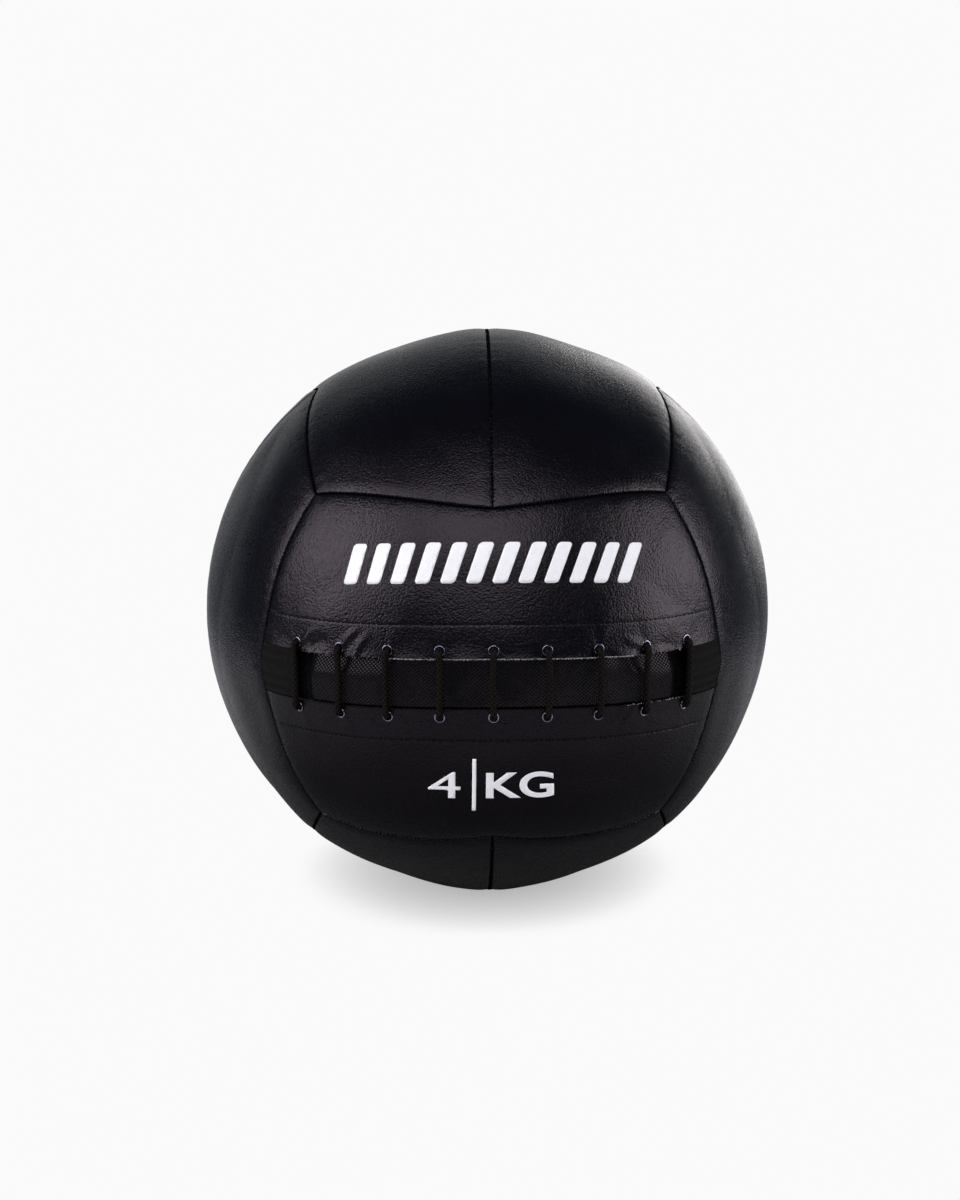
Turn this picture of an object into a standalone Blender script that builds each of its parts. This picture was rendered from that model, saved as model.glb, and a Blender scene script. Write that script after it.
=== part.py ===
"""A wall ball: a soft weighted ball for throwing against a wall, laced shut at the front.

Twelve panels of coated cloth are sewn edge to edge over a stuffed cloth liner. They lie in pairs, as
the six faces of a cube do, and the middle seam of each pair is square to its neighbours'. The front
pair isn't sewn together: it is laced through eyelets, over a flap, and that is where the ball is
filled. Lengths are in metres, angles in degrees. The ball stands on the floor at z = 0, with the
laces facing -Y.
"""

import math

import bmesh
import bpy
import numpy as np
from mathutils import Matrix, Vector

# The cover. The seams stand on a round of this radius, and the panels lie flatter between them.
ball_radius = 0.175
panel_wall = 0.0012
crown_flatness = 0.0025
crown_reach = 0.040
crease_depth = 0.0022
crease_width = 0.0035
seam_allowance = 0.0065
seam_gap = 0.0005
foot_depth = 0.0045

# Clear space between pieces that touch, and how far a cutter runs past what it cuts.
seat_gap = 0.0003
cutter_overrun = 0.004

# The seam pattern: how far each middle seam runs from the middle of its face, and the cube's corners.
closure_half_angle = 53.2
side_seam_half_angle = 53.4
top_seam_half_angle = 55.5
corner_azimuth = 45.0
corner_elevation = 34.2

# The laced closure. Its edges are drawn in a little, below the round of the ball. The pull of the lace
# bows it up in the middle, and its ends hang lower than the middle of the ball.
closure_gap = 0.0305
closure_sink = 0.0045
closure_reach = 0.045
closure_bow = 0.0070
closure_drop = 0.0048
lace_stations = 9
hole_setback = 0.0045
facing_width = 0.024
facing_wall = 0.0012
facing_setback = 0.0005
flap_wall = 0.0010
flap_half_width = 0.030
flap_crown_drop = 0.0015
flap_end_slope = 0.014

# The eyelets, the lace and the webbing tabs at the two ends of the closure.
eyelet_bore_radius = 0.00225
eyelet_wall = 0.00025
eyelet_flange_width = 0.0006
eyelet_flange_wall = 0.0004
hole_clearance = 0.0002
lace_radius = 0.0019
lace_bend_radius = 0.0024
lace_tail = 0.010
tab_length = 0.031
tab_wall = 0.0012
tab_fold_gap = 0.0006
tab_drop = 0.0008

# The filling: a cloth liner, fibre stuffing in two halves, and a bag of iron sand in the middle.
liner_wall = 0.0005
liner_mouth_half_angle = 30.0
liner_mouth_rise = 15.0
filling_reach = 0.100
sand_bag_radius = 0.048
sand_bag_wall = 0.0010
sand_bag_neck_radius = 0.010
sand_bag_neck_length = 0.016
sand_bag_mouth_radius = 0.003
tie_radius = 0.0015

# Where the lines of a panel's grid run, as shares of the way from one edge to the other.
panel_line_shares = (0.0, 0.045, 0.18, 0.36, 0.55, 0.75, 0.945, 1.0)
hem_line_shares = (0.34, 0.52, 0.70, 0.945, 1.0)
flap_line_shares = (0.0, 0.35, 0.70, 1.0)
flap_end_shares = (0.5, 1.0)

# How finely round things are divided.
bend_steps = 2
eyelet_steps = 8
round_steps = 14
arch_steps = 7
filling_columns = 24
filling_rows = 12
edge_samples = 24
crease_angle = 35.0

# The ball's middle stands this high over the floor, once its foot has settled flat.
centre_height = ball_radius - foot_depth
centre = Vector((0, 0, centre_height))

# A seam runs straight from one grid line to the next, and dips this far inside the round between them.
widest_share = max(b - a for a, b in zip(panel_line_shares, panel_line_shares[1:]))
seam_sag = ball_radius * (1 - math.cos(math.radians(top_seam_half_angle) * widest_share / 2))

# The hems are the edges of the front panels, with their facings. The lace runs behind them, on the
# flap, and the flap lies on the liner, which the seam allowances touch everywhere else.
hem_radius = ball_radius - closure_sink
hem_stack = panel_wall + seat_gap + facing_wall
lace_run_depth = hem_stack + seat_gap + eyelet_flange_wall + lace_bend_radius
flap_depth = lace_run_depth + lace_radius + 2 * seat_gap
flap_stack = flap_depth + flap_wall + seat_gap
filling_depth = max(crease_depth + seam_allowance + seam_sag, flap_stack) + seat_gap
liner_radius = ball_radius - filling_depth
flap_radius = hem_radius - filling_depth + 2 * seat_gap + flap_wall

# The knots at the lace's ends fill the space between the facing and the flap.
knot_radius = (lace_run_depth + lace_radius - hem_stack - seat_gap) / 2
knot_depth = hem_stack + seat_gap + knot_radius

# The lace's stations are evenly spaced between the tabs.
closure_half_length = math.radians(closure_half_angle) * hem_radius
tab_inner_end = closure_half_length - tab_length
outer_station = tab_inner_end - lace_radius - 2 * seat_gap
lace_pitch = 2 * outer_station / (lace_stations - 1)
station_arcs = [(k - (lace_stations - 1) / 2) * lace_pitch for k in range(lace_stations)]
half_station_arcs = [k * lace_pitch / 2 for k in range(1 - lace_stations, lace_stations)]

# The room that the sand bag's neck and the cord round it take in the stuffing.
well_radius = sand_bag_neck_radius + 2 * tie_radius + 2 * seat_gap

eyelet_barrel_radius = eyelet_bore_radius + eyelet_wall
eyelet_flange_radius = eyelet_barrel_radius + eyelet_flange_width
hole_radius = eyelet_barrel_radius + hole_clearance


def direction(azimuth, elevation):
    """The unit vector at an azimuth from the front (-Y), to the right, and an elevation, in degrees."""
    az, el = math.radians(azimuth), math.radians(elevation)
    return Vector((math.sin(az) * math.cos(el), -math.cos(az) * math.cos(el), math.sin(el)))


def smooth_fall(x, start, end):
    """1 up to start, 0 from end on, and an even slope between."""
    t = min(max((x - start) / (end - start), 0.0), 1.0)
    return 1 - t * t * (3 - 2 * t)


def closure_unit(arc, height):
    """The unit vector to a place in the closure, so far right of its middle and above its bowed line."""
    level = closure_bow * smooth_fall(abs(arc), 0.0, closure_half_length) - closure_drop
    return direction(math.degrees(arc / hem_radius), math.degrees((level + height) / hem_radius))


def arc_of(unit):
    """How far a place lies to the right of the closure's middle, measured round the ball."""
    return math.atan2(unit.x, -unit.y) * hem_radius


def new_collection(name):
    collection = bpy.data.collections.new(name)
    bpy.context.scene.collection.children.link(collection)
    return collection


def new_material(name, colour, roughness, metallic=0.0):
    material = bpy.data.materials.new(name)
    material.use_nodes = True
    shader = material.node_tree.nodes["Principled BSDF"]
    shader.inputs["Base Color"].default_value = (*colour, 1.0)
    shader.inputs["Roughness"].default_value = roughness
    shader.inputs["Metallic"].default_value = metallic
    return material


def add_object(name, bm, material, collection):
    """An object made of a bmesh about the ball's middle, shaded smooth but for its sharp edges."""
    mesh = bpy.data.meshes.new(name)
    bm.to_mesh(mesh)
    bm.free()
    mesh.shade_smooth()
    mesh.set_sharp_from_angle(angle=math.radians(crease_angle))
    mesh.materials.append(material)
    obj = bpy.data.objects.new(name, mesh)
    obj.location = centre
    collection.objects.link(obj)
    return obj


def add_cutter(name, bm, collection):
    """A solid that only cuts others."""
    mesh = bpy.data.meshes.new(name)
    bm.to_mesh(mesh)
    bm.free()
    cutter = bpy.data.objects.new(name, mesh)
    cutter.location = centre
    cutter.hide_render = True
    cutter.display_type = "WIRE"
    collection.objects.link(cutter)
    return cutter


def cut(obj, cutter):
    modifier = obj.modifiers.new("Cut", "BOOLEAN")
    modifier.operation = "DIFFERENCE"
    modifier.object = cutter


def thicken(obj, wall, offset=-1.0):
    """Gives an open surface a wall, inwards unless the offset says otherwise."""
    solidify = obj.modifiers.new("Wall", "SOLIDIFY")
    solidify.thickness = wall
    solidify.offset = offset
    solidify.use_even_offset = True


def grid(bm, columns, rows):
    """A grid of so many columns and rows of vertices, as a dictionary of them by column and row."""
    bmesh.ops.create_grid(bm, x_segments=columns - 1, y_segments=rows - 1, size=0.5)
    lines = {}
    for vert in bm.verts:
        column = round((vert.co.x + 0.5) * (columns - 1))
        row = round((vert.co.y + 0.5) * (rows - 1))
        lines[column, row] = vert
    return lines


def face_outwards(bm):
    """Turns a sheet's faces away from the middle of the ball."""
    bm.normal_update()
    if sum(face.normal.dot(face.calc_center_median()) for face in bm.faces) < 0:
        bmesh.ops.reverse_faces(bm, faces=bm.faces)
    bm.normal_update()


def turned(profile, steps):
    """A closed solid turned about Z from a closed profile of (radius, height) points."""
    bm = bmesh.new()
    verts = [bm.verts.new((radius, 0, height)) for radius, height in profile]
    edges = [bm.edges.new(pair) for pair in zip(verts, [*verts[1:], verts[0]])]
    bmesh.ops.spin(
        bm,
        geom=[*verts, *edges],
        cent=(0, 0, 0),
        axis=(0, 0, 1),
        angle=2 * math.pi,
        steps=steps,
        use_merge=True,
    )
    bmesh.ops.remove_doubles(bm, verts=bm.verts, dist=seat_gap / 100)
    bmesh.ops.recalc_face_normals(bm, faces=bm.faces)
    return bm


def inset_corners(corners):
    """A panel's corners, each moved in by half a seam gap from the two seams that meet at it."""
    distance = seam_gap / 2 / ball_radius
    middle = sum(corners, Vector()).normalized()
    moved = []
    for before, corner, after in zip([corners[-1], *corners], corners, [*corners[1:], corners[0]]):
        inward = before.cross(corner).normalized(), corner.cross(after).normalized()
        if inward[0].dot(middle) < 0:
            inward = -inward[0], -inward[1]
        shift = (inward[0] + inward[1]) * distance / (1 + inward[0].dot(inward[1]))
        moved.append((corner + shift).normalized())
    return moved


def seam_points(corners):
    """Points along the seams through a panel's corners, in order, as unit vectors."""
    points = []
    for start, end in zip(corners, corners[1:]):
        points += [start.slerp(end, k / edge_samples) for k in range(edge_samples + 1)]
    return np.array(points)


def closure_distance(unit):
    """How far a place on the ball lies from the closure's opening."""
    nearest = closure_unit(min(max(arc_of(unit), -closure_half_length), closure_half_length), 0)
    return max(ball_radius * unit.angle(nearest) - closure_gap / 2, 0.0)


def cover_point(unit, seams):
    """The place on the outside of the cover in a direction, on the panel that has these seams.

    Panels lie flatter than the round they are sewn to, turn in at their seams and are drawn in at the
    closure. The ball's weight presses its foot flat.
    """
    seam = ball_radius * float(np.linalg.norm(seams - np.array(unit), axis=1).min())
    closure = closure_distance(unit)
    radius = ball_radius - closure_sink * math.exp(-((closure / closure_reach) ** 2))
    radius -= crown_flatness * (1 - math.exp(-((min(seam, closure) / crown_reach) ** 2)))
    point = unit * radius
    point.z = max(point.z, -centre_height)
    return point - unit * crease_depth * math.exp(-((seam / crease_width) ** 2))


def turn_in_seams(bm, is_seam=lambda edge: True):
    """Turns a panel's sewn edges in, towards the middle of the ball, as its seam allowance."""
    edges = [edge for edge in bm.edges if edge.is_boundary and is_seam(edge)]
    made = bmesh.ops.extrude_edge_only(bm, edges=edges)["geom"]
    for vert in made:
        if isinstance(vert, bmesh.types.BMVert):
            vert.co -= vert.co.normalized() * seam_allowance
    bm.normal_update()


def sewn_panel(name, corners, material, collection):
    """A panel that is sewn all round.

    Of its five corners the first and the last are the ends of its pair's middle seam, and the third is
    where its neighbours' middle seam ends.
    """
    corners = inset_corners(corners)
    start, start_corner, junction, end_corner, end = corners
    seams = seam_points([*corners, start])
    across = [*(-share for share in reversed(panel_line_shares[1:])), *panel_line_shares]
    bm = bmesh.new()
    for (column, row), vert in grid(bm, len(across), len(panel_line_shares)).items():
        u = across[column]
        low = start.slerp(end, (1 + u) / 2)
        high = junction.slerp(end_corner if u > 0 else start_corner, abs(u))
        vert.co = cover_point(low.slerp(high, panel_line_shares[row]), seams)
    face_outwards(bm)
    turn_in_seams(bm)
    panel = add_object(name, bm, material, collection)
    thicken(panel, panel_wall)
    return panel


def add_sewn_panels(material, collection):
    """The ten panels that are sewn all round: the top, bottom, left, right and rear pairs."""
    rear_middle = {way: direction(way * (180 - closure_half_angle), 0) for way in (-1, 1)}
    front_middle = {way: closure_unit(way * closure_half_length, 0) for way in (-1, 1)}
    for level, face, up in (("upper", "top", 1), ("lower", "bottom", -1)):
        front = direction(0, up * (90 - top_seam_half_angle))
        rear = direction(180, up * (90 - top_seam_half_angle))
        rear_corner = {
            way: direction(way * (180 - corner_azimuth), up * corner_elevation) for way in (-1, 1)
        }
        corners = [rear_middle[-1], rear_corner[-1], rear, rear_corner[1], rear_middle[1]]
        sewn_panel(f"rear_{level}_panel", corners, material, collection)
        for side, way in (("left", -1), ("right", 1)):
            front_corner = direction(way * corner_azimuth, up * corner_elevation)
            side_end = direction(way * 90, up * side_seam_half_angle)
            corners = [front, front_corner, side_end, rear_corner[way], rear]
            sewn_panel(f"{face}_{side}_panel", corners, material, collection)
    for side, way in (("left", -1), ("right", 1)):
        ends = [direction(way * 90, up * side_seam_half_angle) for up in (1, -1)]
        for half, azimuth, middle in (
            ("front", corner_azimuth, front_middle[way]),
            ("rear", 180 - corner_azimuth, rear_middle[way]),
        ):
            upper, lower = (direction(way * azimuth, up * corner_elevation) for up in (1, -1))
            corners = [ends[0], upper, middle, lower, ends[1]]
            sewn_panel(f"{side}_{half}_panel", corners, material, collection)


class FrontSheet:
    """The surface of a front panel, above (side 1) or below (side -1) the closure.

    A place on it is given by its arc along the closure and its distance from the panel's free edge.
    """

    def __init__(self, side):
        corners = [
            closure_unit(-closure_half_length, 0),
            direction(-corner_azimuth, side * corner_elevation),
            direction(0, side * (90 - top_seam_half_angle)),
            direction(corner_azimuth, side * corner_elevation),
            closure_unit(closure_half_length, 0),
        ]
        start, self.start_corner, self.junction, self.end_corner, self.end = inset_corners(corners)
        self.edge_height = side * closure_gap / 2
        self.reach = self.seam_arc(closure_gap / 2)
        edge_ends = [closure_unit(way * self.reach, self.edge_height) for way in (-1, 1)]
        turns = [edge_ends[0], self.start_corner, self.junction, self.end_corner, edge_ends[1]]
        self.seams = seam_points(turns)

    def seam_arc(self, distance):
        """How far right of the closure's middle the side seam passes, so far along it from its start."""
        share = distance / hem_radius / self.end.angle(self.end_corner)
        return arc_of(self.end.slerp(self.end_corner, share))

    def meridian(self, arc):
        """The two ends of the grid line at an arc: on the free edge, and on the seam opposite."""
        u = max(min(arc / self.reach, 1.0), -1.0)
        high = self.junction.slerp(self.end_corner if u > 0 else self.start_corner, abs(u))
        return closure_unit(arc, self.edge_height), high

    def width(self, arc):
        low, high = self.meridian(arc)
        return hem_radius * low.angle(high)

    def point(self, arc, distance):
        low, high = self.meridian(arc)
        return cover_point(low.slerp(high, min(distance / self.width(arc), 1.0)), self.seams)


def front_panel(name, side, holes, material, collection):
    """A front panel. Its edge along the closure is cut raw, behind a row of holes for the eyelets."""
    sheet = FrontSheet(side)
    beside_seam = sheet.reach - 2 * crease_width
    between = (beside_seam + outer_station) / 2
    ends = [between, beside_seam, sheet.reach]
    columns = [*(-arc for arc in reversed(ends)), *half_station_arcs, *ends]
    hem_rows = [0.0, 2 * hole_setback, facing_width]
    bm = bmesh.new()
    free_edge = set()
    for (column, row), vert in grid(bm, len(columns), len(hem_rows) + len(hem_line_shares)).items():
        arc = columns[column]
        if row < len(hem_rows):
            distance = hem_rows[row]
        else:
            distance = hem_line_shares[row - len(hem_rows)] * sheet.width(arc)
        vert.co = sheet.point(arc, distance)
        if row == 0:
            free_edge.add(vert)
    face_outwards(bm)
    turn_in_seams(bm, lambda edge: not free_edge.issuperset(edge.verts))
    panel = add_object(name, bm, material, collection)
    thicken(panel, panel_wall)
    cut(panel, holes)
    return panel


def hem_frame(sheet, arc):
    """The middle of an eyelet's hole on the outside of a hem, as a matrix whose Z points outwards."""
    edge, back = sheet.point(arc, 0.0), sheet.point(arc, 2 * hole_setback)
    along = direction(math.degrees(arc / hem_radius) + 90, 0)
    outward = along.cross(back - edge).normalized()
    if outward.dot(edge) < 0:
        outward.negate()
    frame = Matrix((along, outward.cross(along), outward)).transposed().to_4x4()
    frame.translation = (edge + back) / 2
    return frame


def hole_cutters(name, sheet, collection):
    """A pin through the hem at each of the lace's stations."""
    length = hem_stack + cutter_overrun
    profile = [(0, length), (hole_radius, length), (hole_radius, -length), (0, -length)]
    pins = bmesh.new()
    for arc in station_arcs:
        bm = turned(profile, eyelet_steps)
        bmesh.ops.transform(bm, matrix=hem_frame(sheet, arc), verts=bm.verts)
        pin = bpy.data.meshes.new(name)
        bm.to_mesh(pin)
        bm.free()
        pins.from_mesh(pin)
        bpy.data.meshes.remove(pin)
    return add_cutter(name, pins, collection)


def facing_strip(name, sheet, holes, material, collection):
    """The strip behind a front panel's free edge, which backs the eyelets."""
    end = outer_station + eyelet_flange_radius + seat_gap
    columns = [-end, *half_station_arcs, end]
    rows = [facing_setback, 2 * hole_setback, facing_width]
    bm = bmesh.new()
    for (column, row), vert in grid(bm, len(columns), len(rows)).items():
        point = sheet.point(columns[column], rows[row])
        vert.co = point - point.normalized() * (panel_wall + seat_gap)
    face_outwards(bm)
    facing = add_object(name, bm, material, collection)
    thicken(facing, facing_wall)
    cut(facing, holes)
    return facing


def eyelet(name, frame, material, collection):
    """An eyelet with a flange at each end, set through a front panel and its facing."""
    grip = hem_stack / 2 + seat_gap
    face = grip + eyelet_flange_wall
    profile = [
        (eyelet_flange_radius, face),
        (eyelet_flange_radius, grip),
        (eyelet_barrel_radius, grip),
        (eyelet_barrel_radius, -grip),
        (eyelet_flange_radius, -grip),
        (eyelet_flange_radius, -face),
        (eyelet_bore_radius, -face),
        (eyelet_bore_radius, face),
    ]
    bm = turned(profile, eyelet_steps)
    seat = frame @ Matrix.Translation((0, 0, -hem_stack / 2))
    bmesh.ops.transform(bm, matrix=seat, verts=bm.verts)
    return add_object(name, bm, material, collection)


def closure_flap(name, sheets, material, collection):
    """The flap under the lace. It swells up into the gap, and lies deep under the hems and the tabs."""
    under_hem = closure_gap / 2 + hole_setback - lace_radius - seat_gap
    crown = hem_radius - flap_crown_drop - flap_radius
    end_gap = seam_gap + panel_wall + 2 * seat_gap
    half_rows = [*(under_hem * share for share in flap_line_shares), flap_half_width]
    rows = [*(-height for height in reversed(half_rows[1:])), *half_rows]
    columns = [*(-share for share in reversed(flap_end_shares)), *half_station_arcs, *flap_end_shares]
    inner = range(len(flap_end_shares), len(columns) - len(flap_end_shares))
    bm = bmesh.new()
    for (column, row), vert in grid(bm, len(columns), len(rows)).items():
        arc, height = columns[column], rows[row]
        if column not in inner:
            sheet = sheets[0] if height > 0 else sheets[1]
            past = sheet.seam_arc(abs(height)) - end_gap - outer_station
            arc = math.copysign(outer_station, columns[column]) + past * columns[column]
        rise = smooth_fall(abs(height), 0.0, under_hem)
        rise *= smooth_fall(abs(arc), outer_station - flap_end_slope, outer_station)
        vert.co = closure_unit(arc, height) * (flap_radius + crown * rise)
    face_outwards(bm)
    flap = add_object(name, bm, material, collection)
    thicken(flap, flap_wall)
    return flap


def webbing_tab(name, way, sheets, material, collection):
    """A strip of webbing folded double, with its fold by the last lace and its ends at the side seam."""
    fold_radius = (tab_wall + tab_fold_gap) / 2
    outer = hem_radius - tab_drop - tab_wall / 2
    fold_arc = tab_inner_end + tab_wall / 2 + fold_radius
    edge_height = closure_gap / 2 - 2 * seat_gap
    rows = [-edge_height, 0.0, edge_height]
    turns = [math.pi * k / (bend_steps + 1) for k in range(bend_steps + 2)]
    bm = bmesh.new()
    for (column, row), vert in grid(bm, len(turns) + 2, len(rows)).items():
        height = rows[row]
        sheet = sheets[0] if height > 0 else sheets[1]
        turn = turns[min(max(column - 1, 0), len(turns) - 1)]
        arc = fold_arc - fold_radius * math.sin(turn)
        if column in (0, len(turns) + 1):
            arc = sheet.seam_arc(abs(height)) - 2 * seat_gap
        radius = outer - fold_radius * (1 - math.cos(turn))
        vert.co = closure_unit(way * arc, height) * radius
    face_outwards(bm)
    tab = add_object(name, bm, material, collection)
    thicken(tab, tab_wall, offset=0.0)
    return tab


def bent_path(corners):
    """Points along a line through the corners, with each corner rounded as the lace bends."""
    points = [corners[0]]
    for before, corner, after in zip(corners, corners[1:], corners[2:]):
        back, on = (before - corner).normalized(), (after - corner).normalized()
        turn = math.pi - back.angle(on)
        setback = lace_bend_radius * math.tan(turn / 2)
        if setback < lace_radius / 2:
            points.append(corner)
            continue
        middle = corner + (back + on).normalized() * lace_bend_radius / math.cos(turn / 2)
        start, end = corner + back * setback - middle, corner + on * setback - middle
        for k in range(bend_steps + 1):
            points.append(middle + start.slerp(end, k / bend_steps) * lace_bend_radius)
    return [*points, corners[-1]]


def lace(name, sheets, material, collection):
    """The one long lace, with a knot at each end.

    It crosses the gap over the flap at each station, and goes on to the next one behind the hem.
    """
    inside = Vector((0, 0, -lace_run_depth))
    outside = Vector((0, 0, seat_gap + eyelet_flange_wall + lace_bend_radius))
    knotted = Vector((0, 0, -knot_depth))
    tail = [lace_tail, lace_tail + knot_radius, lace_tail + 2 * knot_radius]
    corners = [hem_frame(sheets[0], station_arcs[0] + arc) @ knotted for arc in reversed(tail)]
    for k, arc in enumerate(station_arcs):
        first, last = (sheets[0], sheets[1]) if k % 2 == 0 else (sheets[1], sheets[0])
        start, end = hem_frame(first, arc), hem_frame(last, arc)
        corners += [start @ inside, start @ outside, end @ outside, end @ inside]
        if k + 1 < lace_stations:
            corners.append(hem_frame(last, arc + lace_pitch / 2) @ inside)
    corners += [hem_frame(last, station_arcs[-1] - arc) @ knotted for arc in tail]
    points = bent_path(corners)
    curve = bpy.data.curves.new(name, "CURVE")
    curve.dimensions = "3D"
    curve.bevel_depth = lace_radius
    curve.bevel_resolution = 2
    curve.use_fill_caps = True
    curve.materials.append(material)
    spline = curve.splines.new("POLY")
    spline.points.add(len(points) - 1)
    for point, place in zip(spline.points, points):
        point.co = (*place, 1)
    for knot in (1, -2):
        spline.points[knot].radius = knot_radius / lace_radius
    obj = bpy.data.objects.new(name, curve)
    obj.location = centre
    collection.objects.link(obj)
    return obj


def packed_round(radius):
    """A round surface of the filling, drawn in behind the closure and pressed flat at its foot."""
    bm = bmesh.new()
    bmesh.ops.create_uvsphere(bm, u_segments=filling_columns, v_segments=filling_rows, radius=1)
    for vert in bm.verts:
        unit = vert.co.normalized()
        sink = closure_sink * smooth_fall(closure_distance(unit), flap_half_width, filling_reach)
        vert.co = unit * (radius - sink)
        vert.co.z = max(vert.co.z, foot_depth - radius)
    return bm


def liner_bag(name, material, collection):
    """The cloth liner, whose mouth lies under the flap."""
    bm = packed_round(liner_radius)
    mouth = []
    for face in bm.faces:
        middle = face.calc_center_median().normalized()
        azimuth = math.degrees(math.atan2(middle.x, -middle.y))
        elevation = math.degrees(math.asin(middle.z))
        if abs(azimuth) < liner_mouth_half_angle and 0 < elevation < liner_mouth_rise:
            mouth.append(face)
    bmesh.ops.delete(bm, geom=mouth, context="FACES")
    bag = add_object(name, bm, material, collection)
    thicken(bag, liner_wall)
    return bag


def face_front(bm):
    """Turns a shape made about Z so that its +Z end faces the front of the ball."""
    turn = Matrix.Rotation(math.pi / 2, 3, "X")
    bmesh.ops.rotate(bm, cent=(0, 0, 0), matrix=turn, verts=bm.verts)
    return bm


def bag_arch(radius):
    """Points (radius, height) down a round of the sand bag, from its shoulder to its foot."""
    shoulder = math.asin(well_radius / (sand_bag_radius + seat_gap))
    turns = [shoulder + (math.pi - shoulder) * k / arch_steps for k in range(arch_steps + 1)]
    return [(radius * math.sin(turn), radius * math.cos(turn)) for turn in turns]


def sand_bag_hollow(name, collection):
    """The room for the sand bag and its tied neck in the stuffing."""
    well_end = sand_bag_radius + sand_bag_neck_length + seat_gap
    profile = [(0, well_end), (well_radius, well_end), *bag_arch(sand_bag_radius + seat_gap)]
    return add_cutter(name, face_front(turned(profile, round_steps)), collection)


def stuffing_half(name, way, hollow, material, collection):
    """Half of the fibre stuffing, front (way -1) or rear (way 1), packed round the sand bag."""
    bm = packed_round(liner_radius - liner_wall - seat_gap)
    split = Vector((0, way * seat_gap / 2, 0))
    cut_face = bmesh.ops.bisect_plane(
        bm,
        geom=[*bm.verts, *bm.edges, *bm.faces],
        plane_co=split,
        plane_no=(0, -way, 0),
        clear_outer=True,
    )
    rim = [item for item in cut_face["geom_cut"] if isinstance(item, bmesh.types.BMEdge)]
    bmesh.ops.contextual_create(bm, geom=rim)
    bmesh.ops.recalc_face_normals(bm, faces=bm.faces)
    half = add_object(name, bm, material, collection)
    cut(half, hollow)
    return half


def sand_bag(name, material, collection):
    """The canvas bag, gathered into a neck that faces the front of the ball."""
    neck_top = sand_bag_radius + sand_bag_neck_length
    inside = sand_bag_radius - sand_bag_wall
    profile = [
        *reversed(bag_arch(sand_bag_radius)),
        (sand_bag_neck_radius, sand_bag_radius),
        (sand_bag_neck_radius, neck_top),
        (sand_bag_mouth_radius, neck_top),
        (sand_bag_mouth_radius, inside),
        *bag_arch(inside),
    ]
    return add_object(name, face_front(turned(profile, round_steps)), material, collection)


def iron_sand(name, material, collection):
    """The sand, packed tight in its bag."""
    radius = sand_bag_radius - sand_bag_wall - seat_gap
    profile = [(0, radius), *bag_arch(radius)]
    return add_object(name, face_front(turned(profile, round_steps)), material, collection)


def bag_tie(name, material, collection):
    """The cord tied round the sand bag's neck."""
    ring_radius = sand_bag_neck_radius + seat_gap + tie_radius
    turns = [2 * math.pi * k / eyelet_steps for k in range(eyelet_steps)]
    neck_middle = sand_bag_radius + sand_bag_neck_length / 2
    profile = [
        (ring_radius + tie_radius * math.cos(turn), neck_middle + tie_radius * math.sin(turn))
        for turn in turns
    ]
    return add_object(name, face_front(turned(profile, round_steps)), material, collection)


def build():
    for obj in list(bpy.data.objects):
        bpy.data.objects.remove(obj)
    ball = new_collection("Wall ball")
    cutters = new_collection("Cutters")

    vinyl = new_material("Coated cloth", (0.012, 0.012, 0.014), 0.42)
    embossed = new_material("Embossed vinyl", (0.010, 0.010, 0.011), 0.50)
    webbing = new_material("Webbing", (0.016, 0.016, 0.015), 0.95)
    cord = new_material("Lace cord", (0.014, 0.012, 0.011), 0.85)
    nickel = new_material("Dark nickel", (0.30, 0.29, 0.33), 0.25, 1.0)
    nylon = new_material("Liner cloth", (0.10, 0.10, 0.11), 0.80)
    fibre = new_material("Textile fibre", (0.42, 0.40, 0.37), 0.95)
    canvas = new_material("Canvas", (0.35, 0.31, 0.24), 0.90)
    sand = new_material("Iron sand", (0.09, 0.085, 0.08), 0.70, 0.6)

    add_sewn_panels(vinyl, ball)
    sheets = [FrontSheet(1), FrontSheet(-1)]
    for level, side, sheet in (("upper", 1, sheets[0]), ("lower", -1, sheets[1])):
        holes = hole_cutters(f"{level}_holes", sheet, cutters)
        front_panel(f"front_{level}_panel", side, holes, vinyl, ball)
        facing_strip(f"{level}_facing", sheet, holes, webbing, ball)
        for k, arc in enumerate(station_arcs):
            eyelet(f"{level}_eyelet_{k + 1}", hem_frame(sheet, arc), nickel, ball)
    closure_flap("closure_flap", sheets, embossed, ball)
    webbing_tab("left_tab", -1, sheets, webbing, ball)
    webbing_tab("right_tab", 1, sheets, webbing, ball)
    lace("lace", sheets, cord, ball)

    liner_bag("liner_bag", nylon, ball)
    hollow = sand_bag_hollow("sand_bag_hollow", cutters)
    stuffing_half("front_stuffing", -1, hollow, fibre, ball)
    stuffing_half("rear_stuffing", 1, hollow, fibre, ball)
    sand_bag("sand_bag", canvas, ball)
    iron_sand("iron_sand", sand, ball)
    bag_tie("sand_bag_tie", cord, ball)


build()
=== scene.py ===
"""The looks of a wall ball: its panels, stitches, lace and filling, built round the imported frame.

Lengths are in metres, angles in degrees. The ball stands on the floor at z = 0, laces facing -Y.
"""

import math

import bmesh
import bpy
import numpy as np
from mathutils import Matrix, Vector, noise
from mathutils.bvhtree import BVHTree


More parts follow.
